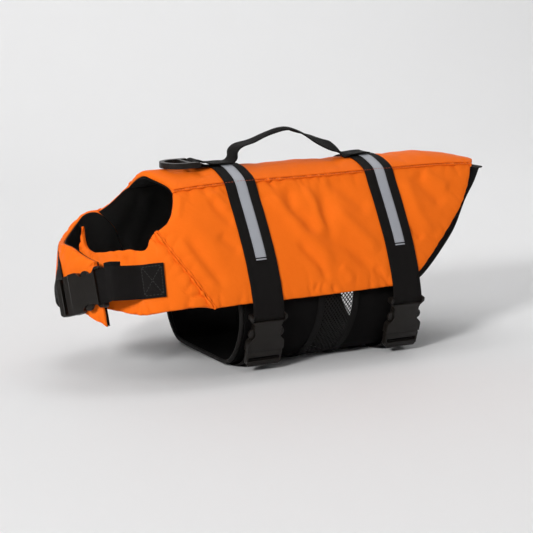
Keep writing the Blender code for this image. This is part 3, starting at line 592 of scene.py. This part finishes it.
def foldCloth(piece, rim, folds, wall, dice, pucker):
    # soft creases along the given lines, and the small puckers that sewing leaves along every edge
    points, normals = coordinates(piece), coordinates(piece, "normal")
    tree = BVHTree.FromObject(piece, bpy.context.evaluated_depsgraph_get())
    fromRim, rimPlace, rimLength = rimDistance(points, rim)
    away = smooth(fromRim / creases["rimFade"])
    rise = np.zeros(len(points))
    for depth, width, line in folds:
        places = [tree.ray_cast(*wall(*place))[0] for place in line]
        places = [place for place in places if place is not None]
        if len(places) < 2:
            continue
        gap, share = distanceTo(points, evenly(places, creases["readStep"]))
        if width > creases["broadFrom"]:
            # a broad one fades at both ends and towards the rim
            taper = smooth(share / 0.22) * smooth((1.0 - share) / 0.22) * (0.25 + 0.75 * away)
        else:
            taper = smooth((1.0 - share) / 0.6)
        reach = width * mm * creases["narrow"]
        rise += depth * mm * creases["gain"] * taper * np.exp(-((gap / reach) ** 2))
    rise += sewnPuckers(fromRim, rimPlace, rimLength, dice, pucker)
    rise -= creases["rimDip"] * np.exp(-((fromRim / creases["rimReach"]) ** 2))
    setCoordinates(piece, points + normals * (rise * np.clip(outerMark(piece), 0.0, 1.0))[:, None])


def finishPiece(piece, material, slot, body, *nodes):
    piece.data.materials.clear()
    piece.data.materials.append(materials[material])
    mark = piece.data.attributes.get("outer")
    if mark is not None:
        piece.data.attributes.remove(mark)
    chosen(piece)
    bpy.ops.object.shade_smooth_by_angle(angle=sharpAngle)
    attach(piece, body)
    if nodes:
        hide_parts(*nodes)


def rearReach(points, reach):
    # the slanted rear edge of a side drawn out rearwards, below the seam
    x, z = points[:, 0] / mm, points[:, 2] / mm
    return reach * mm * smooth((x - 85.0) / 55.0) * smooth((206.0 - z) / 30.0)


nearFolds = [
    # depth in mm, half width in mm, x and z of its line in mm; a ridge if depth is above nought
    (-2.2, 9.0, [(-9, 202), (-12, 190), (-14, 176), (-1, 163), (8, 144)]),
    (-2.5, 10.0, [(26, 204), (30, 182), (26, 165), (27, 142), (44, 131), (62, 114), (80, 93)]),
    (-1.8, 10.0, [(38, 199), (53, 194), (69, 179), (87, 164)]),
    (-1.7, 6.0, [(-20, 143), (-9, 130), (5, 111), (8, 92)]),
    (2.0, 9.0, [(-43, 202), (-21, 172), (-9, 150), (13, 125), (15, 101)]),
    (1.7, 7.0, [(9, 198), (16, 181), (18, 162), (23, 143)]),
    (2.0, 9.0, [(37, 175), (51, 159), (69, 139), (87, 121)]),
    (1.0, 6.0, [(28, 111), (39, 98), (38, 89)]),
    (-0.9, 3.5, [(-45, 189), (-38, 189), (-33, 185), (-32, 180)]),
    (-0.9, 3.0, [(-5, 93), (-12, 84)]),
    (-0.8, 3.0, [(2, 92), (-3, 84)]),
    (-0.8, 3.0, [(15, 89), (16, 82)]),
    (-1.2, 5.0, [(73, 107), (83, 94), (92, 87)]),
    (-0.9, 3.0, [(-33, 205), (-28, 199), (-23, 194)]),
    (-0.8, 3.0, [(10, 204), (12, 195)]),
    (-1.6, 8.0, [(-152, 159), (-144, 142), (-136, 126), (-126, 111), (-119, 99)]),
    (-1.5, 7.0, [(-108, 194), (-104, 180), (-96, 169), (-90, 162)]),
    (-1.4, 8.0, [(-114, 156), (-102, 146), (-90, 136)]),
    (1.4, 7.0, [(-160, 156), (-152, 141), (-144, 127), (-133, 110), (-123, 97)]),
    (1.3, 6.0, [(-109, 200), (-101, 189), (-91, 177)]),
    (-0.8, 3.0, [(-93, 201), (-89, 196), (-86, 192)]),
    (1.4, 5.0, [(-146, 199), (-152, 183), (-158, 173)]),
    (-2.0, 10.0, [(160, 203), (170, 186), (181, 174), (189, 162)]),
    (1.7, 9.0, [(145, 200), (148, 172), (153, 150), (167, 133)]),
    (1.5, 8.0, [(169, 200), (188, 192), (204, 180)]),
    (-1.5, 6.0, [(131, 141), (142, 136), (146, 129)]),
]
farFolds = [
    (-2.1, 10.0, [(-20, 200), (-24, 184), (-12, 168), (2, 150)]),
    (2.0, 9.0, [(-6, 196), (-2, 176), (6, 154), (20, 128)]),
    (-2.3, 9.0, [(14, 203), (22, 186), (24, 164), (38, 138), (58, 112)]),
    (1.8, 10.0, [(48, 190), (58, 168), (72, 146), (86, 124)]),
    (-1.7, 8.0, [(60, 200), (70, 188), (84, 176)]),
    (-1.5, 6.0, [(-34, 138), (-22, 122), (-14, 98)]),
    (-0.9, 3.0, [(-20, 92), (-26, 84)]),
    (-0.8, 3.0, [(28, 92), (31, 84)]),
    (-1.3, 5.0, [(62, 104), (70, 92)]),
    (-0.9, 3.0, [(36, 204), (33, 195)]),
    (-1.6, 8.0, [(-118, 176), (-112, 158), (-100, 142)]),
    (1.5, 7.0, [(-128, 168), (-122, 148), (-112, 128), (-104, 108)]),
    (-1.3, 6.0, [(-140, 148), (-134, 128), (-124, 106)]),
    (-2.0, 10.0, [(150, 202), (162, 182), (170, 160), (180, 140)]),
    (1.7, 9.0, [(172, 196), (182, 176), (196, 156)]),
    (-1.4, 6.0, [(206, 196), (214, 182), (226, 172)]),
]
nearFlapFolds = [
    (1.5, 7.0, [(-186, 153), (-174, 140), (-161, 119), (-150, 99)]),
    (-1.1, 4.6, [(-166, 124), (-153, 125), (-148, 126)]),
    (-0.9, 3.5, [(-147, 109), (-143, 101), (-141, 94)]),
    (-0.9, 3.5, [(-140, 100), (-137, 90), (-135, 83)]),
    (-1.3, 6.0, [(-239, 144), (-228, 136), (-212, 130)]),
    (-0.9, 3.0, [(-226, 146), (-222, 142), (-225, 136)]),
    (-0.8, 3.0, [(-212, 149), (-209, 142)]),
    (-0.8, 3.0, [(-240, 147), (-245, 141)]),
]
farFlapFolds = [
    (-1.3, 5.0, [(-234, 126), (-228, 119), (-222, 116)]),
    (-0.9, 4.0, [(-232, 133), (-224, 134)]),
    (-0.8, 3.0, [(-226, 148), (-222, 143)]),
    (1.4, 7.0, [(-196, 150), (-184, 130), (-174, 108)]),
    (-1.5, 7.0, [(-206, 140), (-196, 118), (-190, 98)]),
    (-1.0, 4.0, [(-160, 112), (-152, 98)]),
]
backFolds = [
    # on the back the lines give x and y in mm
    (-0.7, 9.0, [(-52, -26), (-30, -10), (-20, 14), (-34, 34)]),
    (0.6, 10.0, [(6, -36), (22, -16), (30, 8), (22, 32)]),
    (-0.8, 9.0, [(58, -34), (70, -12), (66, 12), (80, 34)]),
    (-0.8, 10.0, [(150, -34), (160, -10), (152, 16), (164, 34)]),
    (0.6, 9.0, [(186, -34), (196, -6), (190, 28)]),
    (-0.9, 7.0, [(-104, -28), (-112, -8)]),
    (-0.8, 3.0, [(238, -40), (243, -28)]),
]
panels = {
    "back_panel": {"name": "backPanel", "folds": backFolds, "wall": fromAbove, "seed": 3, "pucker": 0.55},
    "side_panel_left": {"name": "sidePanelNear", "folds": nearFolds, "wall": nearWall, "seed": 5,
                        "pucker": 1.2},
    "side_panel_right": {"name": "sidePanelFar", "folds": farFolds, "wall": farWall, "seed": 8,
                         "pucker": 1.2, "reach": 9.0},
    "chest_flap_left": {"name": "chestFlapNear", "folds": nearFlapFolds, "wall": nearWall, "seed": 13,
                        "pucker": 2.0},
    "chest_flap_right": {"name": "chestFlapFar", "folds": farFlapFolds, "wall": nearWall, "seed": 21,
                         "pucker": 1.9},
}
outerRims = {}
finished = {}
for nodeName, spec in panels.items():
    finished[nodeName] = mergedCopy(nodeName, spec["name"])
    outerRims[nodeName] = markedCage(finished[nodeName])
for nodeName, spec in panels.items():
    panel, rim = finished[nodeName], outerRims[nodeName]
    roundedEdges(panel, 1.7 * mm, 3, [other for name, other in outerRims.items() if name != nodeName])
    foldCloth(panel, rim, spec["folds"], spec["wall"], random.Random(spec["seed"]), spec["pucker"])
    if "reach" in spec:
        points = coordinates(panel)
        points[:, 0] += rearReach(points, spec["reach"])
        setCoordinates(panel, points)
    outer = outerMark(panel)
    finishPiece(panel, "orangeCloth", "orange_oxford", "jacket", nodeName)
    if nodeName == "chest_flap_right":
        # the lining is turned over the top flap's edge
        panel.data.materials.append(materials["liningCloth"])
        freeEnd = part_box(nodeName)[0][1] + 14.0 * mm
        for face in panel.data.polygons:
            turned = max(outer[k] for k in face.vertices) < 0.55 and face.center.y < freeEnd
            face.material_index = int(turned)
    print("  ", nodeName, len(panel.data.polygons), "faces")

linings = {
    "lining_back": {"name": "liningBack", "seed": 31, "flat": (0.097, 0.455), "area": 0.035},
    "lining_side_left": {"name": "liningNear", "seed": 32, "flat": (0.147, 0.44), "area": 0.050,
                         "reach": 4.5},
    "lining_side_right": {"name": "liningFar", "seed": 33, "flat": (0.147, 0.46), "area": 0.051,
                          "reach": 12.0},
    "lining_flap_left": {"name": "liningFlapNear", "seed": 34, "flat": (0.105, 0.18), "area": 0.0094},
    "lining_flap_right": {"name": "liningFlapFar", "seed": 35, "flat": (0.12, 0.255), "area": 0.0146},
}


def wavyCloth(piece, seed, rise, size):
    # a thin sheet's points, its ways outward, and slow uneven hollows, the same on both its faces
    dice = random.Random(seed)
    points = coordinates(piece)
    shift = np.zeros(len(points))
    for _ in range(6):
        turn = dice.uniform(-0.5, 0.5)
        run = points[:, 0] * math.cos(turn) + (points[:, 2] - 0.1) * math.sin(turn)
        shift += np.sin(2.0 * math.pi * run / (size * dice.uniform(0.7, 1.6)) + dice.uniform(0.0, 6.3))
    shift *= rise / 3.0
    outward = points * np.array([0.0, 1.0, 1.0]) - np.array([0.0, 0.0, 0.09])
    outward /= np.linalg.norm(outward, axis=1, keepdims=True)
    return points, outward, np.maximum(shift, 0.0)


for nodeName, spec in linings.items():
    sheet = mergedCopy(nodeName, spec["name"])
    rim = markedCage(sheet)
    roundedEdges(sheet, 0.4 * mm, 2)
    points, outward, hollow = wavyCloth(sheet, spec["seed"], 1.6 * mm, 45.0 * mm)
    points -= outward * (hollow * smooth(rimDistance(points, rim)[0] / (12.0 * mm)))[:, None]
    if "reach" in spec:
        points[:, 0] += rearReach(points, spec["reach"])
    setCoordinates(sheet, points)
    finishPiece(sheet, "liningCloth", "black_lining", "jacket", nodeName)

print("Stage 4: belly panel")
netShift = 12.0 * mm


def shifted(x):
    # the panel is eased rearwards where its net window is let in
    eased = smooth((x + 62.0 * mm) / (50.0 * mm)) * (1.0 - smooth((x - 55.0 * mm) / (55.0 * mm)))
    return x + netShift * eased


def tongue(points):
    # its rear edge runs out a little on the far side, low down
    x, y, z = points.T / mm
    far = smooth((y - 20.0) / 50.0) * (1.0 - smooth((z - 34.0) / 28.0))
    return 13.0 * mm * far * smooth((x - 80.0) / 47.0)


bellyParts = {
    "belly_front": {"name": "bellyFront", "seed": 41, "flat": (0.087, 0.332), "area": 0.0248},
    "belly_rear": {"name": "bellyRear", "seed": 42, "flat": (0.113, 0.332), "area": 0.033},
}
for nodeName, spec in bellyParts.items():
    sheet = mergedCopy(nodeName, spec["name"])
    rim = markedCage(sheet)
    roundedEdges(sheet, 0.8 * mm, 2)
    points, outward, hollow = wavyCloth(sheet, spec["seed"], 1.2 * mm, 50.0 * mm)
    hollow *= smooth((points[:, 2] - 12.0 * mm) / (20.0 * mm))
    hollow *= smooth(rimDistance(points, rim)[0] / (10.0 * mm))
    points -= outward * hollow[:, None]
    points[:, 0] = shifted(points[:, 0]) + tongue(points)
    setCoordinates(sheet, points)
    finishPiece(sheet, "neoprene", "black_neoprene", "jacket", nodeName)

netSpec = {"columns": 11, "rows": 60, "cord": 1.6 * mm, "thick": 0.4 * mm, "slant": 28.0 * mm,
           "width": 50.0 * mm, "share": 0.975, "flat": (0.078, 0.332), "area": 0.0166}


def treeOf(meshes):
    # one search tree over several meshes
    points, faces = [], []
    for mesh in meshes:
        faces += [[len(points) + k for k in face.vertices] for face in mesh.polygons]
        points += [v.co.copy() for v in mesh.vertices]
    return BVHTree.FromPolygons(points, faces)


bellyTree = treeOf([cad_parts[name].data for name in ("belly_front", "belly_net", "belly_rear")])
bellyMiddle = 0.06


def onBelly(x, angle):
    # the belly's outer face, met from outside at an angle from straight down
    away = Vector((0.0, math.sin(angle), -math.cos(angle)))
    return bellyTree.ray_cast(Vector((x, 0.0, bellyMiddle)) + away * 0.3, -away)[0]


def netPoints(share, across):
    # places on the net for shares from hem to hem and from its front edge to its rear edge
    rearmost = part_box("belly_net")[1][0]
    middle = rearmost - netSpec["width"] / 2.0 - netSpec["slant"] / 2.0
    angles, section = [], []
    for angle in np.radians(np.linspace(0.0, 125.0, 251)):
        hit = onBelly(middle, angle)
        if hit is None or (section and (hit - section[-1]).length > 6.0 * mm):
            break
        angles.append(angle)
        section.append(hit)
    run = runLengths(np.array(section))
    angle = np.interp(abs(share) * run[-1], run, angles) * np.sign(share)
    x = rearmost - netSpec["width"] - netSpec["slant"] * (1.0 - abs(share)) + netSpec["width"] * across
    points = []
    for one, turn in zip(x, angle):
        hit = onBelly(one, turn)
        while hit is None or hit.y * turn < 0.0:
            # past the hem: back a little
            turn *= 0.992
            hit = onBelly(one, turn)
        points.append(hit)
    points = np.array(points)
    points[:, 0] = shifted(points[:, 0])
    return points


def newGrid(name, columns, rows):
    bpy.ops.object.select_all(action="DESELECT")
    bpy.ops.mesh.primitive_grid_add(x_subdivisions=columns, y_subdivisions=rows, size=2.0, calc_uvs=True)
    grid = bpy.context.object
    grid.name = name
    grid.location = (0.0, 0.0, 0.0)
    return grid


def edgeKey(edge):
    return frozenset((round(v.co.x, 4), round(v.co.y, 4)) for v in edge.verts)


def makeNet():
    # a grid's squares are cut into four, their own sides taken out again, and each diamond opened
    net = newGrid("bellyNet", netSpec["columns"], netSpec["rows"])
    bpy.ops.object.mode_set(mode="EDIT")
    bpy.ops.mesh.select_mode(type="EDGE")
    edit = bmesh.from_edit_mesh(net.data)
    inner = {edgeKey(edge) for edge in edit.edges if len(edge.link_faces) == 2}
    bpy.ops.mesh.select_all(action="SELECT")
    bpy.ops.mesh.poke()
    selectEdges(net, lambda edge: edgeKey(edge) in inner)
    bpy.ops.mesh.dissolve_edges(use_verts=False)
    bpy.ops.object.mode_set(mode="OBJECT")
    flat = coordinates(net)
    setCoordinates(net, netPoints(netSpec["share"] * flat[:, 1], (flat[:, 0] + 1.0) / 2.0))
    chosen(net)
    bpy.ops.object.mode_set(mode="EDIT")
    bpy.ops.mesh.select_mode(type="FACE")
    bpy.ops.mesh.select_all(action="SELECT")
    bpy.ops.mesh.inset(thickness=netSpec["cord"] / 2.0, use_individual=True, use_even_offset=False)
    bpy.ops.mesh.delete(type="FACE")
    bpy.ops.object.mode_set(mode="OBJECT")
    applyModifier(net, "SOLIDIFY", thickness=netSpec["thick"], offset=0.0)
    finishPiece(net, "netCord", "black_net", "jacket", "belly_net")
    return net


print("   net", len(makeNet().data.polygons), "faces")

print("Stage 5: webbing")


def bandRings(nodeName, thick, reach):
    # a webbing's middle line and half its width as vectors; reach is the longest step along it
    edit = bmesh.new()
    edit.from_mesh(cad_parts[nodeName].data)
    bmesh.ops.remove_doubles(edit, verts=edit.verts, dist=mergeGap)
    edit.verts.ensure_lookup_table()
    partner = {}
    for vertex in edit.verts:
        through = min(vertex.link_edges, key=lambda e: abs(e.calc_length() - thick))
        partner[vertex] = through.other_vert(vertex)
    pairOf, pairs = {}, []
    for vertex, other in partner.items():
        if vertex not in pairOf:
            pairOf[vertex] = pairOf[other] = len(pairs)
            pairs.append((vertex, other))
    beside = [set() for _ in pairs]
    places = [(a.co + b.co) / 2.0 for a, b in pairs]
    for edge in sorted(edit.edges, key=lambda e: e.calc_length()):
        a, b = (pairOf[v] for v in edge.verts)
        if a == b or b in beside[a]:
            continue
        if edge.calc_length() > reach:
            # a long straight stretch: only an edge that goes on the way its neighbours go
            way = (places[b] - places[a]).normalized()
            turns = [abs(way.dot((places[k] - places[j]).normalized())) for j in (a, b) for k in beside[j]]
            if edge.calc_face_angle(0.0) < math.radians(40.0) or not turns or max(turns) < 0.85:
                continue
        beside[a].add(b)
        beside[b].add(a)
    ends = [k for k, others in enumerate(beside) if len(others) == 1]
    chains = []
    for end in ends:
        if any(end in chain for chain in chains):
            continue
        chain = [end]
        while True:
            after = [k for k in beside[chain[-1]] if k not in chain]
            if not after:
                break
            chain.append(after[0])
        chains.append(chain)
    edit.free()
    assert len(chains) == 2 and len(chains[0]) == len(chains[1]), nodeName
    left, right = (np.array([places[k] for k in chain]) for chain in chains)
    if np.linalg.norm(left[0] - right[0]) > np.linalg.norm(left[0] - right[-1]):
        right = right[::-1]
    return (left + right) / 2.0, (right - left) / 2.0


def makeBand(name, middle, half, thick, material, slot, nodes, rows=8, lift=0.0, cup=None,
             step=2.0 * mm, wave=0.25, seed=1, away=(0.0, 0.0, 0.1), follow=None):
    # a flat band on its middle line: a grid laid along it, given its thickness, its edges rounded
    at = runLengths(middle)
    count = int(round(at[-1] / step))
    keys = np.linspace(0.0, at[-1], count + 1)
    line, across = readCurve(at, middle, keys), readCurve(at, half, keys)
    run = np.gradient(line, axis=0)
    out = np.cross(run, across)
    out /= np.linalg.norm(out, axis=1, keepdims=True)
    if np.mean(np.sum(out * (line - np.array(away)), axis=1)) < 0.0:
        out, across = -out, -across
    if follow is not None:
        line = line + out * follow(line)[:, None]
    band = newGrid(name, count, rows)
    flat = coordinates(band)
    i = np.clip(np.rint((flat[:, 0] + 1.0) / 2.0 * count).astype(int), 0, count)
    t = flat[:, 1]
    dice = random.Random(seed)
    ripple = sum(np.sin(2.0 * math.pi * keys / dice.uniform(14.0 * mm, 60.0 * mm) + dice.uniform(0.0, 6.3))
                 for _ in range(4)) / 2.0
    rise = lift + wave * mm * ripple[i] * np.abs(t) ** 3
    if cup is not None:
        rise = rise + cup(line[i]) * (1.0 - t * t)
    setCoordinates(band, line[i] + across[i] * t[:, None] + out[i] * rise[:, None])
    width = float(np.median(np.linalg.norm(half, axis=1))) * 2.0
    uv = band.data.uv_layers["UVMap"].data
    values = np.empty(len(uv) * 2)
    uv.foreach_get("uv", values)
    values = values.reshape(-1, 2) * np.array([at[-1], width])
    uv.foreach_set("uv", values.ravel())
    applyModifier(band, "SOLIDIFY", thickness=thick, offset=0.0)
    applyModifier(band, "BEVEL", width=0.28 * thick, segments=2, limit_method="ANGLE",
                  angle_limit=sharpAngle)
    with editingAll(band):
        bpy.ops.mesh.normals_make_consistent(inside=False)
    finishPiece(band, material, slot, "jacket", *nodes)
    return band, line, across, out


handleRoll, chestDrawIn = math.radians(25.0), 3.0 * mm


def handleCup(line):
    # its edges turn down along the middle of the grip and at both roots
    x = line[:, 0] / mm
    return mm * (2.6 * np.exp(-(((x - 10.0) / 32.0) ** 2)) + 1.2 * np.exp(-(((x + 54.0) / 7.0) ** 2))
                 + 1.4 * np.exp(-(((x - 80.0) / 7.0) ** 2)))


def rolledHandle(middle, half):
    # towards its rear root the webbing rolls, its near edge down
    x = middle[:, 0] / mm
    turn = handleRoll * smooth((x - 26.0) / 26.0) * (1.0 - smooth((x - 82.0) / 12.0))
    up = np.array([0.0, 0.0, 1.0]) * (np.linalg.norm(half, axis=1) * np.sign(half[:, 1]))[:, None]
    return half * np.cos(turn)[:, None] + up * np.sin(turn)[:, None]


def drawnIn(line):
    # the far chest webbing is moved towards its flap; it cuts into it behind the buckle
    y = line[:, 1] / mm
    return -chestDrawIn * smooth((y + 30.0) / 20.0) * (1.0 - smooth((y - 60.0) / 30.0))


webbingThick, tapeThick = 1.5 * mm, 0.5 * mm
bands = {}
for place, seed in (("front", 51), ("rear", 52)):
    middle, half = bandRings(f"girth_strap_{place}", webbingThick, 20.0 * mm)
    bands[f"girth_{place}"] = makeBand(f"girthStrap.{place}", middle, half, webbingThick, "webbing",
                                       "black_webbing", [f"girth_strap_{place}"], seed=seed)
    middle, half = bandRings(f"reflective_tape_{place}", tapeThick, 11.0 * mm)
    bands[f"tape_{place}"] = makeBand(f"reflectiveTape.{place}", middle, half, tapeThick, "reflectiveTape",
                                      "reflective_tape", [f"reflective_tape_{place}"], rows=4, wave=0.0)


def tapeEnds(place):
    # the tape's folded end shows as a short pale bar just past its stitched edge
    line, across = bands[f"tape_{place}"][1:3]
    for label, index in (("near", 0), ("far", -1)):
        way = line[index] - line[1 if index == 0 else -2]
        way /= np.linalg.norm(way)
        middle = np.array([line[index] + way * t * mm for t in (1.5, 2.2, 3.0)])
        half = np.tile(across[index] * 0.97, (3, 1))
        makeBand(f"tapeEnd.{place}.{label}", middle, half, tapeThick, "reflectiveTape", "reflective_tape",
                 [], rows=2, wave=0.0, step=0.7 * mm)


for place in ("front", "rear"):
    tapeEnds(place)
middle, half = bandRings("handle", webbingThick, 8.0 * mm)
half = rolledHandle(middle, half)
makeBand("handleWebbing", middle, half, webbingThick, "webbing", "black_webbing", ["handle"],
         step=1.5 * mm, cup=handleCup, wave=0.35, seed=53, away=(0.0, 0.0, 0.22))
for label, across in (("front", 0.05), ("rear", 0.97)):
    share = np.linspace(-0.96, 0.96, 61)
    middle = netPoints(share, np.full(61, across))
    half = np.tile([4.0 * mm, 0.0, 0.0], (61, 1))
    makeBand(f"netSeam.{label}", middle, half, 0.8 * mm, "binding", "black_webbing", [],
             rows=4, lift=0.9 * mm, wave=0.0, step=3.0 * mm)
for side, seed in (("left", 54), ("right", 55)):
    middle, half = bandRings(f"chest_strap_{side}", webbingThick, 19.0 * mm)
    bands[f"chest_{side}"] = makeBand(f"chestStrap.{side}", middle, half, webbingThick, "webbing",
                                      "black_webbing", [f"chest_strap_{side}"], seed=seed,
                                      away=(-0.15, 0.0, 0.1),
                                      follow=drawnIn if side == "right" else None)

print("Stage 6: buckles and ring")


def mouldedCopy(nodeName, name, bevel):
    piece = mergedCopy(nodeName, name)
    with editingAll(piece):
        bpy.ops.mesh.dissolve_limited(angle_limit=math.radians(2.0))
    applyModifier(piece, "BEVEL", width=bevel, segments=3, limit_method="ANGLE",
                  angle_limit=math.radians(32.0), harden_normals=False)
    return piece


for place in ("front", "rear", "chest"):
    for half in ("socket", "clip"):
        piece = mouldedCopy(f"buckle_{place}_{half}", f"buckle.{place}.{half}", 0.7 * mm)
        finishPiece(piece, "plastic", "black_plastic", "jacket", f"buckle_{place}_{half}")
ring = mouldedCopy("leash_ring", "leashRing", 1.2 * mm)
finishPiece(ring, "plastic", "black_plastic", "leash_ring", "leash_ring")

binding = mergedCopy("belly_binding", "bellyBinding")
applyModifier(binding, "SUBSURF", levels=2, render_levels=2)
finishPiece(binding, "netCord", "black_webbing", "jacket", "belly_binding")

print("Stage 7: stitching")
stitchShapes = {
    # length, width and height of a stitch, and the step from one to the next, in mm
    "seam": (2.7, 0.62, 0.5, 3.7),
    "patch": (2.6, 0.6, 0.45, 3.4),
    "tape": (1.7, 0.45, 0.35, 2.5),
}


def readLine(keys, at, rows):
    # rows along a line read at the keys, straight from one row to the next
    return np.stack([np.interp(keys, at, rows[:, k]) for k in range(3)], -1)


def oneStitch(kind):
    length, width, height, _ = stitchShapes[kind]
    bpy.ops.object.select_all(action="DESELECT")
    bpy.ops.mesh.primitive_uv_sphere_add(segments=6, ring_count=5, radius=0.5)
    stitch = bpy.context.object
    bpy.ops.object.mode_set(mode="EDIT")
    bpy.ops.transform.rotate(value=math.pi / 2.0, orient_axis="Y", center_override=(0.0, 0.0, 0.0))
    bpy.ops.transform.resize(value=(length * mm, width * mm, height * mm),
                             center_override=(0.0, 0.0, 0.0))
    bpy.ops.object.mode_set(mode="OBJECT")
    points = coordinates(stitch)
    faces = [list(face.vertices) for face in stitch.data.polygons]
    bpy.data.objects.remove(stitch, do_unlink=True)
    return points, faces


def sewn(name, kind, routes, material, seed):
    # copies of one stitch along routes of places and outward directions, joined as one mesh
    shape, faces = oneStitch(kind)
    step = stitchShapes[kind][3] * mm
    dice = random.Random(seed)
    allPoints, allFaces = [], []
    for places, outs in routes:
        at = runLengths(places)
        count = max(1, int(at[-1] / step))
        keys = (np.arange(count) + 0.5) * at[-1] / count
        runs = readLine(keys + step / 4.0, at, places) - readLine(keys - step / 4.0, at, places)
        for middle, way, run in zip(readLine(keys, at, places), readLine(keys, at, outs), runs):
            run /= np.linalg.norm(run)
            way -= run * (way @ run)
            way /= np.linalg.norm(way)
            side = np.cross(way, run)
            turn = dice.uniform(-0.07, 0.07)
            length = run * math.cos(turn) + side * math.sin(turn)
            width = side * math.cos(turn) - run * math.sin(turn)
            start = len(allPoints) * len(shape)
            allPoints.append(middle + shape @ np.array([length, width, way]))
            allFaces += [[start + k for k in face] for face in faces]
    mesh = bpy.data.meshes.new(name)
    mesh.from_pydata(np.concatenate(allPoints).tolist(), [], allFaces)
    piece = addObject(name, mesh)
    piece.data.shade_smooth()
    piece.data.materials.append(materials[material])
    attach(piece, "jacket")


def laidOn(tree, places, ways, lift=0.1 * mm):
    # each place dropped onto the finished surfaces from outside, along its way out
    found, outs = [], []
    for place, way in zip(places, ways):
        hit = tree.ray_cast(Vector(place + way * 0.02), -Vector(way))[0]
        if hit is not None:
            found.append(np.array(hit) + np.array(way) * lift)
            outs.append(way)
    return np.array(found), np.array(outs)


seamTree = treeOf([finished[name].data for name in ("back_panel", "side_panel_left", "side_panel_right")]
                  + [bands[f"{kind}_{place}"][0].data for kind in ("girth", "tape")
                     for place in ("front", "rear")])
for side, nodeName, label in ((-1, "side_panel_left", "near"), (1, "side_panel_right", "far")):
    # the seam runs where the back's rim meets the side panel's
    own = evenly(outerRims["back_panel"], 3.0 * mm)
    gap = distanceTo(own, outerRims[nodeName])[0]
    line = own[(gap < 1.5 * mm) & (own[:, 1] * side > 0.03)]
    line = line[np.argsort(line[:, 0])]
    line += np.array([0.0, side * 0.75, -1.0]) * mm
    way = np.tile(np.array([0.0, side * 0.72, 0.69]), (len(line), 1))
    places, ways = laidOn(seamTree, line, way)
    # these seam stitches use the orange thread darkened with painted shade
    sewn(f"seamStitches.{label}", "seam", [(places, ways)], "shadedOrangeThread", 61)

for place in ("front", "rear"):
    line, across, out = bands[f"tape_{place}"][1:]
    routes = [(line + across * share + out * tapeThick * 0.6, out) for share in (-0.86, 0.86)]
    sewn(f"tapeStitches.{place}", "tape", routes, "greyThread", 62)


def bandPlace(band, at, share):
    # a place on a webbing's outer face: distance from its start, share of its half width
    line, across, out = band[1:]
    run = runLengths(line)
    face = readLine(at, run, line + out * webbingThick * 0.5)
    return face + readLine(at, run, across) * np.asarray(share)[:, None], readLine(at, run, out)


def boxCross(band, start, stop):
    # a box with both its diagonals, as webbing is sewn down
    corners = [(start, -0.84), (stop, -0.84), (stop, 0.84), (start, 0.84), (start, -0.84)]
    lines = list(zip(corners, corners[1:])) + [(corners[0], corners[2]), (corners[1], corners[3])]
    routes = []
    for (a, p), (b, q) in lines:
        t = np.linspace(0.02, 0.98, 14)
        routes.append(bandPlace(band, a + (b - a) * t, p + (q - p) * t))
    return routes


closure = bands["chest_left"]
reach = runLengths(closure[1])[-1]
upper = 0.92 if closure[2][0][2] > 0.0 else -0.92
places, ways = bandPlace(closure, np.linspace(reach - 31.0 * mm, reach - 12.0 * mm, 9), np.full(9, upper))
makeBand("hookPatch", places - ways * 1.6 * mm, np.tile([0.0, 0.0, 6.5 * mm], (9, 1)), 1.2 * mm, "binding",
         "black_webbing", [], rows=4, wave=0.0, step=1.5 * mm, away=(-0.1, 0.0, 0.1))
for label, start, stop in (("left", 3.0, 24.0), ("right", 3.0, 33.0)):
    routes = boxCross(bands[f"chest_{label}"], start * mm, stop * mm)
    sewn(f"patchStitches.{label}", "patch", routes, "blackThread", 63)
